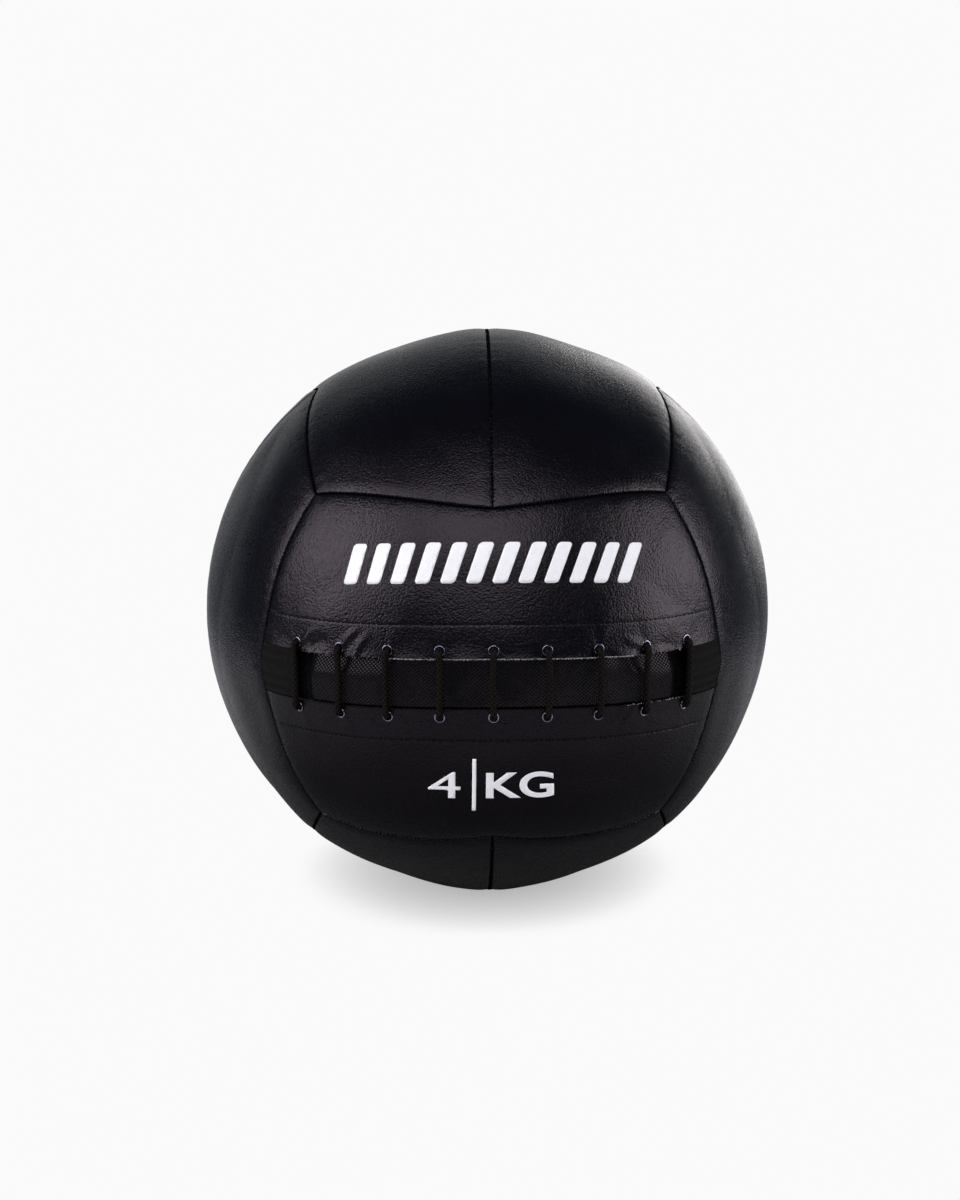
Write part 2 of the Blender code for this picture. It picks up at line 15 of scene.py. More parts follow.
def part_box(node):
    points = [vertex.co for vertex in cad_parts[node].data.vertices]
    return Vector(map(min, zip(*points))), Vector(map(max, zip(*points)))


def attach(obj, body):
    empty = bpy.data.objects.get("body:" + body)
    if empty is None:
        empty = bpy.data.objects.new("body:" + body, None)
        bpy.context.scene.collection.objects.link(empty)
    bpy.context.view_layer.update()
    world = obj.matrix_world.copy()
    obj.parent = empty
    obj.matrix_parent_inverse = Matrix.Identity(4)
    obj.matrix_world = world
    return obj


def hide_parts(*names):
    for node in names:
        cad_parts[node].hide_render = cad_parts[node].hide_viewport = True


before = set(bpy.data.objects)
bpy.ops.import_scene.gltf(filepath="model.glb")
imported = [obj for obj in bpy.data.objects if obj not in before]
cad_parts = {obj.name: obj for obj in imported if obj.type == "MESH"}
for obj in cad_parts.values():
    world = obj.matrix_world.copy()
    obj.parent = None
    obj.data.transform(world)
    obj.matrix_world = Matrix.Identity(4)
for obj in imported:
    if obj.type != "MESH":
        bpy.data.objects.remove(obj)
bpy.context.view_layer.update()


# Iron sand
# The weight in the middle of the ball: fine dark grains packed tight in a bag. The frame's solid has
# the right shape, so it stays and only gets its finish.
sand_grain = 0.0009


class Wire:
    """A socket of a finish's nodes. Sums of wires and numbers add Math nodes."""

    def __init__(self, socket):
        self.socket = socket

    def node(self, kind, settings=None, inputs=None, output=0):
        """Another node of the same finish. Its settings are made before its inputs."""
        tree = self.socket.id_data
        node = tree.nodes.new(kind)
        for name, value in (settings or {}).items():
            setattr(node, name, value)
        for name, value in (inputs or {}).items():
            if isinstance(value, Wire):
                tree.links.new(value.socket, node.inputs[name])
            else:
                node.inputs[name].default_value = value
        return Wire(node.outputs[output])

    def math(self, operation, *values):
        return self.node("ShaderNodeMath", {"operation": operation}, dict(enumerate(values)))

    def __add__(self, other):
        return self.math("ADD", self, other)

    def __sub__(self, other):
        return self.math("SUBTRACT", self, other)

    def __rsub__(self, other):
        return self.math("SUBTRACT", other, self)

    def __mul__(self, other):
        return self.math("MULTIPLY", self, other)

    __radd__ = __add__
    __rmul__ = __mul__

    def part(self, axis):
        """One of the three numbers of a vector."""
        return self.node("ShaderNodeSeparateXYZ", inputs={"Vector": self}, output=axis)

    def wave(self, pitch):
        """Ripples from -1 to 1, one to each pitch."""
        return self.math("SINE", self * (2 * math.pi / pitch))

    def lines(self, pitch):
        """Thin lines where this is 0, one to each pitch, and 1 midway between them."""
        return self.math("ABSOLUTE", self.wave(2 * pitch))

    def size(self):
        """How long a vector is."""
        return self.node("ShaderNodeVectorMath", {"operation": "LENGTH"}, {0: self}, output=1)

    def stretch(self, scale):
        """A vector times a vector."""
        return self.node("ShaderNodeVectorMath", {"operation": "MULTIPLY"}, {0: self, 1: scale})

    def drift(self, width, way):
        """Places pushed about, by up to this way, in patches about this wide."""
        push = self.node("ShaderNodeTexNoise", inputs={"Vector": self, "Scale": 1 / width}, output=1)
        inputs = {0: push, 1: (way, way, way), 2: self}
        return self.node("ShaderNodeVectorMath", {"operation": "MULTIPLY_ADD"}, inputs)

    def grains(self, width):
        """How far each place lies from the middle of the nearest of many cells this wide."""
        return self.node("ShaderNodeTexVoronoi", inputs={"Vector": self, "Scale": 1 / width})

    def cloud(self, width, detail=2.0):
        """Soft noise from 0 to 1 whose patches are about this wide."""
        inputs = {"Vector": self, "Scale": 1 / width, "Detail": detail}
        return self.node("ShaderNodeTexNoise", inputs=inputs)

    def between(self, low, high, to_low=0.0, to_high=1.0):
        """Maps the stretch from low to high to another, and holds it there."""
        inputs = {0: self, 1: low, 2: high, 3: to_low, 4: to_high}
        return self.node("ShaderNodeMapRange", inputs=inputs)

    def tint(self, dark, light):
        """A colour that goes from dark, where this is 0, to light, where it is 1."""
        inputs = {"Factor": self, 6: (*dark, 1), 7: (*light, 1)}
        return self.node("ShaderNodeMix", {"data_type": "RGBA"}, inputs, output=2)


class Finish:
    """A material with a Principled shader, and the places on the object that its pattern reads."""

    def __init__(self, name, colour, roughness, metallic=0.0, gloss=0.5):
        self.material = bpy.data.materials.new(name)
        self.material.use_nodes = True
        tree = self.material.node_tree
        self.shader = tree.nodes["Principled BSDF"]
        self.shader.inputs["Base Color"].default_value = (*colour, 1)
        self.shader.inputs["Roughness"].default_value = roughness
        self.shader.inputs["Metallic"].default_value = metallic
        self.shader.inputs["Specular IOR Level"].default_value = gloss
        places = tree.nodes.new("ShaderNodeTexCoord")
        self.place = Wire(places.outputs["Object"])
        self.cloth = Wire(places.outputs["UV"])

    def set(self, socket, wire):
        self.material.node_tree.links.new(wire.socket, self.shader.inputs[socket])

    def paint(self, share, dark, light):
        """Colours the surface from dark, where share is 0, to light, where it is 1."""
        self.set("Base Color", share.tint(dark, light))

    def emboss(self, height, depth):
        """Raises the surface by up to depth, where height is 1."""
        self.set("Normal", height.node("ShaderNodeBump", inputs={"Distance": depth, "Height": height}))


def dress(node, finish):
    """Gives a CAD node that stays its finish."""
    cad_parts[node].data.materials.clear()
    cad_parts[node].data.materials.append(finish.material)


sand_finish = Finish("iron sand", (0.09, 0.085, 0.08), 0.6, metallic=0.7)
sand_cells = sand_finish.place.grains(sand_grain)
sand_finish.paint(sand_cells, (0.14, 0.13, 0.12), (0.03, 0.028, 0.026))
sand_finish.emboss(1 - sand_cells, sand_grain / 2)
dress("iron_sand", sand_finish)


# Sand bag
# A round canvas bag, gathered into a neck that faces the laces, and the cord that ties it shut. The
# canvas swells between the folds that run from its neck.
ball_radius = 0.175
foot_depth = 0.0045
centre = Vector((0, 0, ball_radius - foot_depth))
bag_radius = 0.048
bag_neck_radius = 0.010
bag_neck_length = 0.016
bag_wall = 0.0010
bag_folds = 22
bag_fold_height = 0.0007
bag_steps = 48
bag_neck_steps = 8
canvas_yarn_pitch = 0.0012
cord_radius = 0.0015
cord_strands = 3
cord_twists = 40
cord_relief = 0.00012


def mesh_from(name, bm):
    """A mesh made of a bmesh, which is then let go."""
    mesh = bpy.data.meshes.new(name)
    bm.to_mesh(mesh)
    bm.free()
    return mesh


def add_object(name, data):
    """Puts a mesh, a lamp or the like in the scene."""
    added = bpy.data.objects.new(name, data)
    bpy.context.scene.collection.objects.link(added)
    return added


def add_piece(name, bm, finish, slot, *replaced):
    """Makes a bmesh, drawn about the ball's middle, a piece of the scene that stands for CAD nodes."""
    bmesh.ops.translate(bm, verts=bm.verts, vec=centre)
    mesh = mesh_from(name, bm)
    mesh.shade_smooth()
    mesh.materials.append(finish.material)
    piece = add_object(name, mesh)
    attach(piece, "root")
    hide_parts(*replaced)
    return piece


def turned(profile, steps):
    """A closed solid turned about Z from a closed profile of (radius, height) points."""
    bm = bmesh.new()
    verts = [bm.verts.new((radius, 0, height)) for radius, height in profile]
    edges = [bm.edges.new(pair) for pair in zip(verts, [*verts[1:], verts[0]])]
    bmesh.ops.spin(
        bm,
        geom=[*verts, *edges],
        cent=(0, 0, 0),
        axis=(0, 0, 1),
        angle=2 * math.pi,
        steps=steps,
        use_merge=True,
    )
    bmesh.ops.remove_doubles(bm, verts=bm.verts, dist=1e-6)
    bmesh.ops.recalc_face_normals(bm, faces=bm.faces)
    return bm


def face_front(bm):
    """Turns a shape made about Z so that its +Z end faces the laces."""
    bmesh.ops.rotate(bm, cent=(0, 0, 0), matrix=Matrix.Rotation(math.pi / 2, 3, "X"), verts=bm.verts)
    return bm


def bag_profile(radius, neck_radius, top):
    """Points up the outside of the bag, from its foot to the top of its neck."""
    shoulder = math.asin(neck_radius / radius)
    turns = [math.pi - (math.pi - shoulder) * k / bag_steps for k in range(bag_steps)]
    round_part = [(radius * math.sin(turn), radius * math.cos(turn)) for turn in turns]
    low = radius * math.cos(shoulder)
    neck = [(neck_radius, low + (top - low) * k / bag_neck_steps) for k in range(bag_neck_steps + 1)]
    return round_part + neck


canvas = Finish("canvas", (0.35, 0.31, 0.24), 0.9)
canvas_weave = canvas.place.part(0).wave(canvas_yarn_pitch) * canvas.place.part(2).wave(canvas_yarn_pitch)
canvas.emboss(canvas_weave, 0.0001)
canvas.paint(canvas.place.cloud(0.012), (0.28, 0.24, 0.18), (0.40, 0.36, 0.28))

bag_top = bag_radius + bag_neck_length
outside = bag_profile(bag_radius - bag_fold_height, bag_neck_radius - bag_fold_height, bag_top)
inside = bag_profile(bag_radius - bag_fold_height - bag_wall, bag_neck_radius / 3, bag_top)
bm = turned([*outside, *reversed(inside)], 8 * bag_folds)
for vert in bm.verts:
    reach = max(min((vert.co.z + bag_radius) / (2 * bag_radius), 1.0), 0.0)
    fold = math.cos(bag_folds * math.atan2(vert.co.y, vert.co.x)) * reach**3
    across = Vector((vert.co.x, vert.co.y, 0)).normalized()
    vert.co += across * bag_fold_height * fold
add_piece("canvas_bag", face_front(bm), canvas, "sand_bag", "sand_bag")

twine = Finish("twine", (0.03, 0.024, 0.02), 0.9)
twine.emboss(twine.place.cloud(0.0004, detail=3.0), 0.0002)
ring_radius = bag_neck_radius + cord_radius
ring_height = bag_radius + bag_neck_length / 2
ring = []
for turn in range(0, 360, 15):
    out, up = math.cos(math.radians(turn)), math.sin(math.radians(turn))
    ring.append((ring_radius + cord_radius * out, ring_height + cord_radius * up))
bm = turned(ring, 3 * cord_twists)
for vert in bm.verts:
    spot = Vector((math.hypot(vert.co.x, vert.co.y) - ring_radius, vert.co.z - ring_height))
    twist = cord_twists * math.atan2(vert.co.y, vert.co.x) + cord_strands * math.atan2(spot.y, spot.x)
    vert.co += vert.co.normalized() * cord_relief * math.cos(twist)
add_piece("tie_cord", face_front(bm), twine, "lace", "sand_bag_tie")


# Stuffing
# Textile fibre packed in two halves round the sand bag. It is lumpy, drawn in behind the laces and
# pressed flat where the ball stands.
seat_gap = 0.0003
lump_height = 0.0006
lump_width_share = 0.14
filling_columns = 128
hollow_steps = 96
drawn_in_reach = (0.030, 0.100)
closure_half_angle = 53.2
closure_gap = 0.0305
closure_sink = 0.0045
closure_bow = 0.0070
closure_drop = 0.0048
hem_radius = ball_radius - closure_sink
closure_half_length = math.radians(closure_half_angle) * hem_radius


def unit(azimuth, elevation):
    """Unit vectors at azimuths from the front (-Y), to the right, and elevations."""
    az, el = np.radians(azimuth), np.radians(elevation)
    return np.stack([np.sin(az) * np.cos(el), -np.cos(az) * np.cos(el), np.sin(el) + 0 * az], axis=-1)


def smooth_fall(x, start, end):
    """1 up to start, 0 from end on, and an even slope between."""
    t = np.clip((x - start) / (end - start), 0.0, 1.0)
    return 1 - t * t * (3 - 2 * t)


def closure_unit(arc, height):
    """Unit vectors to places so far right of the closure's middle and above its bowed line."""
    level = closure_bow * smooth_fall(np.abs(arc), 0.0, closure_half_length) - closure_drop
    return unit(np.degrees(arc / hem_radius), np.degrees((level + height) / hem_radius))


def angle_between(a, b):
    """The angles between unit vectors."""
    return np.arccos(np.clip((a * b).sum(axis=-1), -1.0, 1.0))


def closure_distance(units):
    """How far places on the ball lie from the closure's opening."""
    arc = np.arctan2(units[:, 0], -units[:, 1]) * hem_radius
    nearest = closure_unit(np.clip(arc, -closure_half_length, closure_half_length), 0 * arc)
    return np.maximum(ball_radius * angle_between(units, nearest) - closure_gap / 2, 0.0)


def lumps(points, width):
    """Soft noise from -1 to 1 at places, whose patches are about this wide."""
    return np.array([noise.noise(Vector(point)) for point in points / width])


def set_places(bm, places):
    """Moves a bmesh's vertices, in their order, to these places."""
    for vert, place in zip(bm.verts, places):
        vert.co = place


def press_flat(points, height):
    """Lifts what lies lower than this below the ball's middle up to there, with a soft edge."""
    softness = 0.0012
    rise = (-height - points[:, 2]) / softness
    points[:, 2] = -height + softness * np.logaddexp(0.0, -rise)
    return points


def packed_round(radius, lump):
    """A round surface of the filling."""
    bm = bmesh.new()
    bmesh.ops.create_uvsphere(bm, u_segments=filling_columns, v_segments=filling_columns // 2, radius=1)
    units = np.array([vert.co.normalized() for vert in bm.verts])
    sink = closure_sink * smooth_fall(closure_distance(units), *drawn_in_reach)
    places = units * (radius - sink - lump + lump * lumps(units, lump_width_share))[:, None]
    set_places(bm, press_flat(places, radius - foot_depth))
    return bm


def cut_away(piece, bm):
    """Cuts a closed shape, drawn about the ball's middle, out of a piece, and settles its modifiers."""
    bmesh.ops.translate(bm, verts=bm.verts, vec=centre)
    mesh = mesh_from("cutter", bm)
    cutter = add_object("cutter", mesh)
    hole = piece.modifiers.new("Hole", "BOOLEAN")
    hole.object = cutter
    whole = piece.data
    shape = bpy.data.meshes.new_from_object(piece.evaluated_get(bpy.context.evaluated_depsgraph_get()))
    piece.modifiers.clear()
    piece.data = shape
    shape.shade_smooth()
    shape.set_sharp_from_angle(angle=math.radians(50))
    bpy.data.meshes.remove(whole)
    bpy.data.objects.remove(cutter)
    bpy.data.meshes.remove(mesh)
    shape.name = piece.name


fibre = Finish("textile fibre", (0.42, 0.40, 0.37), 0.95)
fibre_tufts = fibre.place.cloud(0.004, detail=6.0)
fibre.paint(fibre_tufts, (0.22, 0.21, 0.20), (0.55, 0.52, 0.48))
fibre.emboss(fibre_tufts, 0.002)
liner_outer_radius = float(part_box("liner_bag")[1].x)
liner_wall = 0.0005
well_radius = bag_neck_radius + 2 * cord_radius + 2 * seat_gap

for name, way in (("front_stuffing", -1), ("rear_stuffing", 1)):
    bm = packed_round(liner_outer_radius - liner_wall - seat_gap, lump_height)
    cut = bmesh.ops.bisect_plane(
        bm,
        geom=[*bm.verts, *bm.edges, *bm.faces],
        plane_co=(0, way * seat_gap / 2, 0),
        plane_no=(0, -way, 0),
        clear_outer=True,
    )
    rim = [item for item in cut["geom_cut"] if isinstance(item, bmesh.types.BMEdge)]
    bmesh.ops.contextual_create(bm, geom=rim)
    bmesh.ops.recalc_face_normals(bm, faces=bm.faces)
    half = add_piece(f"{name}_fibre", bm, fibre, "stuffing", name)
    hollow = bag_profile(bag_radius + seat_gap, well_radius, bag_top + seat_gap)
    cut_away(half, face_front(turned([*hollow, (0.0, bag_top + seat_gap)], hollow_steps)))


# Liner
# A plain cloth bag round the stuffing, sewn of thin woven cloth. It is filled through a mouth under
# the laces, which is drawn shut before the cover is laced over it.
mouth_half_angle = 30
mouth_rise = 15

liner_cloth = Finish("liner cloth", (0.10, 0.10, 0.11), 0.85)
liner_weave = liner_cloth.place.cloud(0.0007, detail=3.0)
liner_cloth.emboss(liner_weave, 0.0001)
liner_cloth.paint(liner_weave, (0.07, 0.07, 0.08), (0.13, 0.13, 0.14))


def area_of(bm):
    return sum(face.calc_area() for face in bm.faces)


def thicken(piece, thickness, offset=-1.0):
    """Gives a sheet its thickness: inwards, or to both sides of it with an offset of 0."""
    wall = piece.modifiers.new("Wall", "SOLIDIFY")
    wall.thickness = thickness
    wall.offset = offset
    wall.use_even_offset = True


bm = packed_round(liner_outer_radius, lump_height)
mouth = []
for face in bm.faces:
    middle = face.calc_center_median().normalized()
    azimuth = math.degrees(math.atan2(middle.x, -middle.y))
    if abs(azimuth) < mouth_half_angle and 0 < math.degrees(math.asin(middle.z)) < mouth_rise:
        mouth.append(face)
bmesh.ops.delete(bm, geom=mouth, context="FACES")
liner_area = area_of(bm)
liner = add_piece("liner_cloth", bm, liner_cloth, "liner", "liner_bag")
thicken(liner, liner_wall)


# Sewn panels
# Ten panels of black coated cloth with a fine pebble grain, sewn edge to edge with their edges turned
# in. The stuffing swells each one a little unevenly, and the seams pucker it.
panel_wall = 0.0012
seam_gap = 0.0005
seam_allowance = 0.0065
shoulder_radius = 0.0014
shoulder_steps = 6
dip_depth = 0.0006
dip_width = 0.0040
crown_flatness = 0.0025
crown_reach = 0.040
swell_height = 0.0011
swell_width = 0.050
swell_start = 0.006
swell_full = 0.030
pucker_height = 0.00034
pucker_width = 0.0055
pucker_start = 0.001
pucker_reach = 0.0080
pucker_stretch_share = 0.35
closure_reach = 0.045
front_seam_sag = 0.0032
front_seam_sag_angle = 0.17
cloth_cell = 0.0015
pebble_width = 0.0012
pebble_height = 0.00020
corner_azimuth = 45.0
corner_elevation = 34.2
side_seam_half_angle = 53.4
top_seam_half_angle = 55.5


def coated_cloth(name, dark, light):
    """Black coated cloth: uneven pebbles under a thin gloss, with drawn creases and duller patches."""
    finish = Finish(name, dark, 0.4, gloss=0.25)
    finish.shader.inputs["Specular Tint"].default_value = (1.0, 0.88, 1.0, 1)
    place = finish.place
    pebbles = place.drift(0.0012, 0.0008).grains(pebble_width)
    creases = place.drift(0.012, 0.006).stretch((1.0, 1.0, 0.5)).cloud(0.0045, detail=4.0)
    wear = place.cloud(0.030, detail=3.0)
    finish.emboss((1 - pebbles) + creases * 0.5, pebble_height)
    finish.paint(wear * (1 - pebbles), dark, light)
    finish.set("Roughness", wear.between(0.3, 0.7, 0.19, 0.25) + pebbles * 0.07)
    return finish


black_cloth = coated_cloth("black coated cloth", (0.0009, 0.0007, 0.0012), (0.0026, 0.0021, 0.0032))


def along_arc(start, end, share):
    """Unit vectors at shares of the way round from start to end."""
    turn = np.atleast_1d(angle_between(start, end))
    weights = np.sin((1 - share) * turn), np.sin(share * turn)
    return (weights[0][:, None] * start + weights[1][:, None] * end) / np.sin(turn)[:, None]


def normalized(vectors):
    return vectors / np.linalg.norm(vectors, axis=-1, keepdims=True)


def seam_places(units, start, end):
    """How far places lie from the seam from start to end, and how far along it."""
    normal = normalized(np.cross(start, end))
    along = np.arctan2(units @ np.cross(normal, start), units @ start)
    length = float(angle_between(start, end))
    beside = (along > 0) & (along < length)
    from_ends = np.minimum(angle_between(units, start), angle_between(units, end))
    distance = np.where(beside, np.abs(np.arcsin(np.clip(units @ normal, -1, 1))), from_ends)
    return ball_radius * distance, ball_radius * np.clip(along, 0, length)


def cover_points(units, seams):
    """Places on the outside of the cover in these directions, on a panel between these seams.

    Each panel is flattest at its crown, swells unevenly, rolls over a small shoulder at its seams, where
    it dips and puckers, and is drawn in at the closure. The seam over the front panels hangs lower between
    its corners, most of all a third of the way from its middle to a corner.
    """
    distances, alongs = [], []
    for start, end in seams:
        distance, along = seam_places(units, start, end)
        distances.append(distance)
        alongs.append(along)
    nearest = np.min(distances, axis=0)
    closure = closure_distance(units)
    inwards = np.minimum(nearest, closure)
    radius = ball_radius - closure_sink * np.exp(-((closure / closure_reach) ** 2))
    radius -= crown_flatness * (1 - np.exp(-((inwards / crown_reach) ** 2)))
    swell = 1 - smooth_fall(inwards, swell_start, swell_full)
    radius += swell_height * lumps(units * ball_radius, swell_width) * swell
    points = press_flat(units * radius[:, None], ball_radius - foot_depth)
    past_edge = np.clip(nearest - seam_gap / 2, 0, shoulder_radius)
    dip = shoulder_radius - np.sqrt(shoulder_radius**2 - (shoulder_radius - past_edge) ** 2)
    spared = np.ones(len(units))
    for k, (distance, along) in enumerate(zip(distances, alongs)):
        spared *= 1 - np.exp(-((distance / dip_width) ** 2))
        spots = np.stack([along, distance * pucker_stretch_share, along * 0 + 7.3 * k], axis=1)
        tucks = lumps(spots, pucker_width)
        swing = np.exp(-distance / pucker_reach) * (1 - np.exp(-distance / pucker_start))
        dip += pucker_height * tucks * swing
    dip += dip_depth * (1 - spared)
    azimuth = np.arctan2(units[:, 0], -units[:, 1])
    above = np.arcsin(np.clip(units[:, 2], -1, 1)) - math.radians(corner_elevation + 1)
    from_corner = np.clip(1 - np.abs(azimuth) / math.radians(corner_azimuth), 0.0, 1.0)
    hang = 27 / 4 * from_corner**2 * (1 - from_corner)
    sag = front_seam_sag * hang * smooth_fall(np.abs(above), 0.0, front_seam_sag_angle)
    down = np.stack([units[:, 2] * units[:, 0], units[:, 2] * units[:, 1], units[:, 2] ** 2 - 1], axis=1)
    return points - units * dip[:, None] + down * sag[:, None]


def grid(columns, rows):
    """A flat grid, with the column and the row of each of its vertices."""
    bm = bmesh.new()
    bmesh.ops.create_grid(bm, x_segments=columns - 1, y_segments=rows - 1, size=0.5)
    flat = np.array([vert.co[:2] for vert in bm.verts]) + 0.5
    column, row = np.rint(flat * (columns - 1, rows - 1)).astype(int).T
    return bm, column, row


def cloth_lines(length, start_turned=True):
    """Places of grid lines over a length of cloth, close together where its edges turn in."""
    quarter = np.linspace(0, math.pi / 2, shoulder_steps + 1)[:-1]
    turn = shoulder_radius * (1 - np.cos(quarter))
    inner = np.arange(shoulder_radius if start_turned else 0.0, length - shoulder_radius, cloth_cell)
    return np.concatenate([turn if start_turned else [], inner, length - turn[::-1]])


def face_outwards(bm):
    """Turns a sheet over if its faces point towards the middle of the ball."""
    bm.normal_update()
    if sum(face.normal.dot(face.calc_center_median()) for face in bm.faces) < 0:
        bmesh.ops.reverse_faces(bm, faces=bm.faces)


def turn_in_edges(bm, edges):
    """Turns edges in, towards the middle of the ball, as the seam allowance."""
    made = bmesh.ops.extrude_edge_only(bm, edges=edges)["geom"]
    for vert in made:
        if isinstance(vert, bmesh.types.BMVert):
            vert.co -= vert.co.normalized() * seam_allowance
    bm.normal_update()


def inset_corners(corners):
    """A panel's corners, each moved in by half a seam gap from the two seams that meet at it."""
    middle = sum(corners)
    moved = []
    for before, corner, after in zip([corners[-1], *corners], corners, [*corners[1:], corners[0]]):
        sides = [normalized(np.cross(before, corner)), normalized(np.cross(corner, after))]
        sides = [side * np.sign(side @ middle) for side in sides]
        corner = corner + (sides[0] + sides[1]) * seam_gap / 2 / ball_radius / (1 + sides[0] @ sides[1])
        moved.append(normalized(corner))
    return moved


def sewn_panel(name, node, corners):
    """A panel that is sewn all round. Its middle seam runs from its last corner to its first."""
    seams = list(zip(corners, [*corners[1:], corners[0]]))
    start, start_corner, junction, end_corner, end = inset_corners(corners)
    across = ball_radius * float(angle_between(start, end))
    half_lines = cloth_lines(across / 2 + shoulder_radius)
    half_lines = half_lines[half_lines < across / 2 - cloth_cell / 2] / (across / 2)
    shares = np.concatenate([half_lines - 1, [0.0], 1 - half_lines[::-1]])
    width = ball_radius * float(angle_between(normalized(start + end), junction))
    lines = cloth_lines(width) / width
    bm, column, row = grid(len(shares), len(lines))
    u, v = shares[column], lines[row]
    low = along_arc(start, end, (1 + u) / 2)
    high = along_arc(junction, np.where(u[:, None] > 0, end_corner, start_corner), np.abs(u))
    set_places(bm, cover_points(along_arc(low, high, v), seams))
    face_outwards(bm)
    turn_in_edges(bm, [edge for edge in bm.edges if edge.is_boundary])
    area = area_of(bm)
    panel = add_piece(name, bm, black_cloth, "cover", node)
    thicken(panel, panel_wall)
    return seams


all_seams = []
rear_middle = {way: unit(way * (180 - closure_half_angle), 0) for way in (-1, 1)}
front_middle = {way: closure_unit(way * closure_half_length, 0) for way in (-1, 1)}
for level, face, up in (("upper", "top", 1), ("lower", "bottom", -1)):
    rise = up * (90 - top_seam_half_angle)
    rear_corner = {way: unit(way * (180 - corner_azimuth), up * corner_elevation) for way in (-1, 1)}
    corners = [rear_middle[-1], rear_corner[-1], unit(180, rise), rear_corner[1], rear_middle[1]]
    all_seams += sewn_panel(f"rear_{level}_cover", f"rear_{level}_panel", corners)
    for side, way in (("left", -1), ("right", 1)):
        front_corner = unit(way * corner_azimuth, up * corner_elevation)
        side_end = unit(way * 90, up * side_seam_half_angle)
        corners = [unit(0, rise), front_corner, side_end, rear_corner[way], unit(180, rise)]
        all_seams += sewn_panel(f"{face}_{side}_cover", f"{face}_{side}_panel", corners)
for side, way in (("left", -1), ("right", 1)):
    ends = [unit(way * 90, up * side_seam_half_angle) for up in (1, -1)]
    for half, azimuth, middle in (
        ("front", corner_azimuth, front_middle[way]),
        ("rear", 180 - corner_azimuth, rear_middle[way]),
    ):
        upper, lower = (unit(way * azimuth, up * corner_elevation) for up in (1, -1))
        corners = [ends[0], upper, middle, lower, ends[1]]
        all_seams += sewn_panel(f"{side}_{half}_cover", f"{side}_{half}_panel", corners)


# Front panels
# The two panels that the lace draws together. They are sewn like the others on three sides, and their
# fourth is a raw edge, which curls out a little between the eyelets. The pull of the lace creases them.
facing_wall = 0.0012
hem_stack = panel_wall + seat_gap + facing_wall
hole_setback = 0.0045
hole_clearance = 0.0002
eyelet_bore_radius = 0.00225
eyelet_wall = 0.00025
hole_radius = eyelet_bore_radius + eyelet_wall + hole_clearance
lace_radius = 0.0019
tab_length = 0.031
stations = 9
outer_station = closure_half_length - tab_length - lace_radius - 2 * seat_gap
station_arcs = np.linspace(-outer_station, outer_station, stations)
lace_pitch = station_arcs[1] - station_arcs[0]
crease_height = 0.0010
crease_start = 0.006
crease_reach = 0.016
crease_edge = 0.004
ridge_bend = 0.0016
ridge_start = 0.003
lip_heights = {1: 0.0010, -1: 0.0003}
lip_reach = 0.0035
lip_swing_share = 0.35
frayed_reach = (0.058, 0.080)

# The row of topstitches lies in a narrow groove, so the grid gets lines of its own beside it. Up to
# even_reach from the free edge the grid's lines keep their distance, and past that they spread evenly.
topstitch_setback = 0.0192
topstitch_groove = 0.00022
topstitch_groove_width = 0.0006
topstitch_lines = (-0.0016, -0.0008, -0.0004, 0.0, 0.0004, 0.0008, 0.0016)
topstitch_clear = 0.0023
even_reach = 0.024

# Single creases above (1) and below (-1) the closure: each runs from one place, given as on FrontSheet,
# to another, and has a height and a width.
ridges = {
    1: (
        ((-0.0925, 0.0050), (-0.0790, 0.0185), 0.0011, 0.0020),
        ((-0.0830, 0.0000), (-0.0720, 0.0170), 0.0012, 0.0024),
        ((-0.1215, 0.0045), (-0.1080, 0.0160), 0.0009, 0.0018),
        ((-0.1120, 0.0040), (-0.0980, 0.0080), -0.0009, 0.0030),
        ((0.0925, 0.0045), (0.0770, 0.0140), 0.0010, 0.0022),
        ((0.1150, 0.0020), (0.1000, 0.0090), -0.0010, 0.0034),
        ((0.0840, 0.0010), (0.0660, 0.0040), 0.0009, 0.0022),
    ),
    -1: (
        ((0.0870, 0.0010), (0.0790, 0.0220), 0.0010, 0.0022),
        ((0.0800, 0.0000), (0.0720, 0.0160), 0.0008, 0.0020),
        ((-0.0930, 0.0045), (-0.0800, 0.0170), 0.0007, 0.0020),
    ),
}


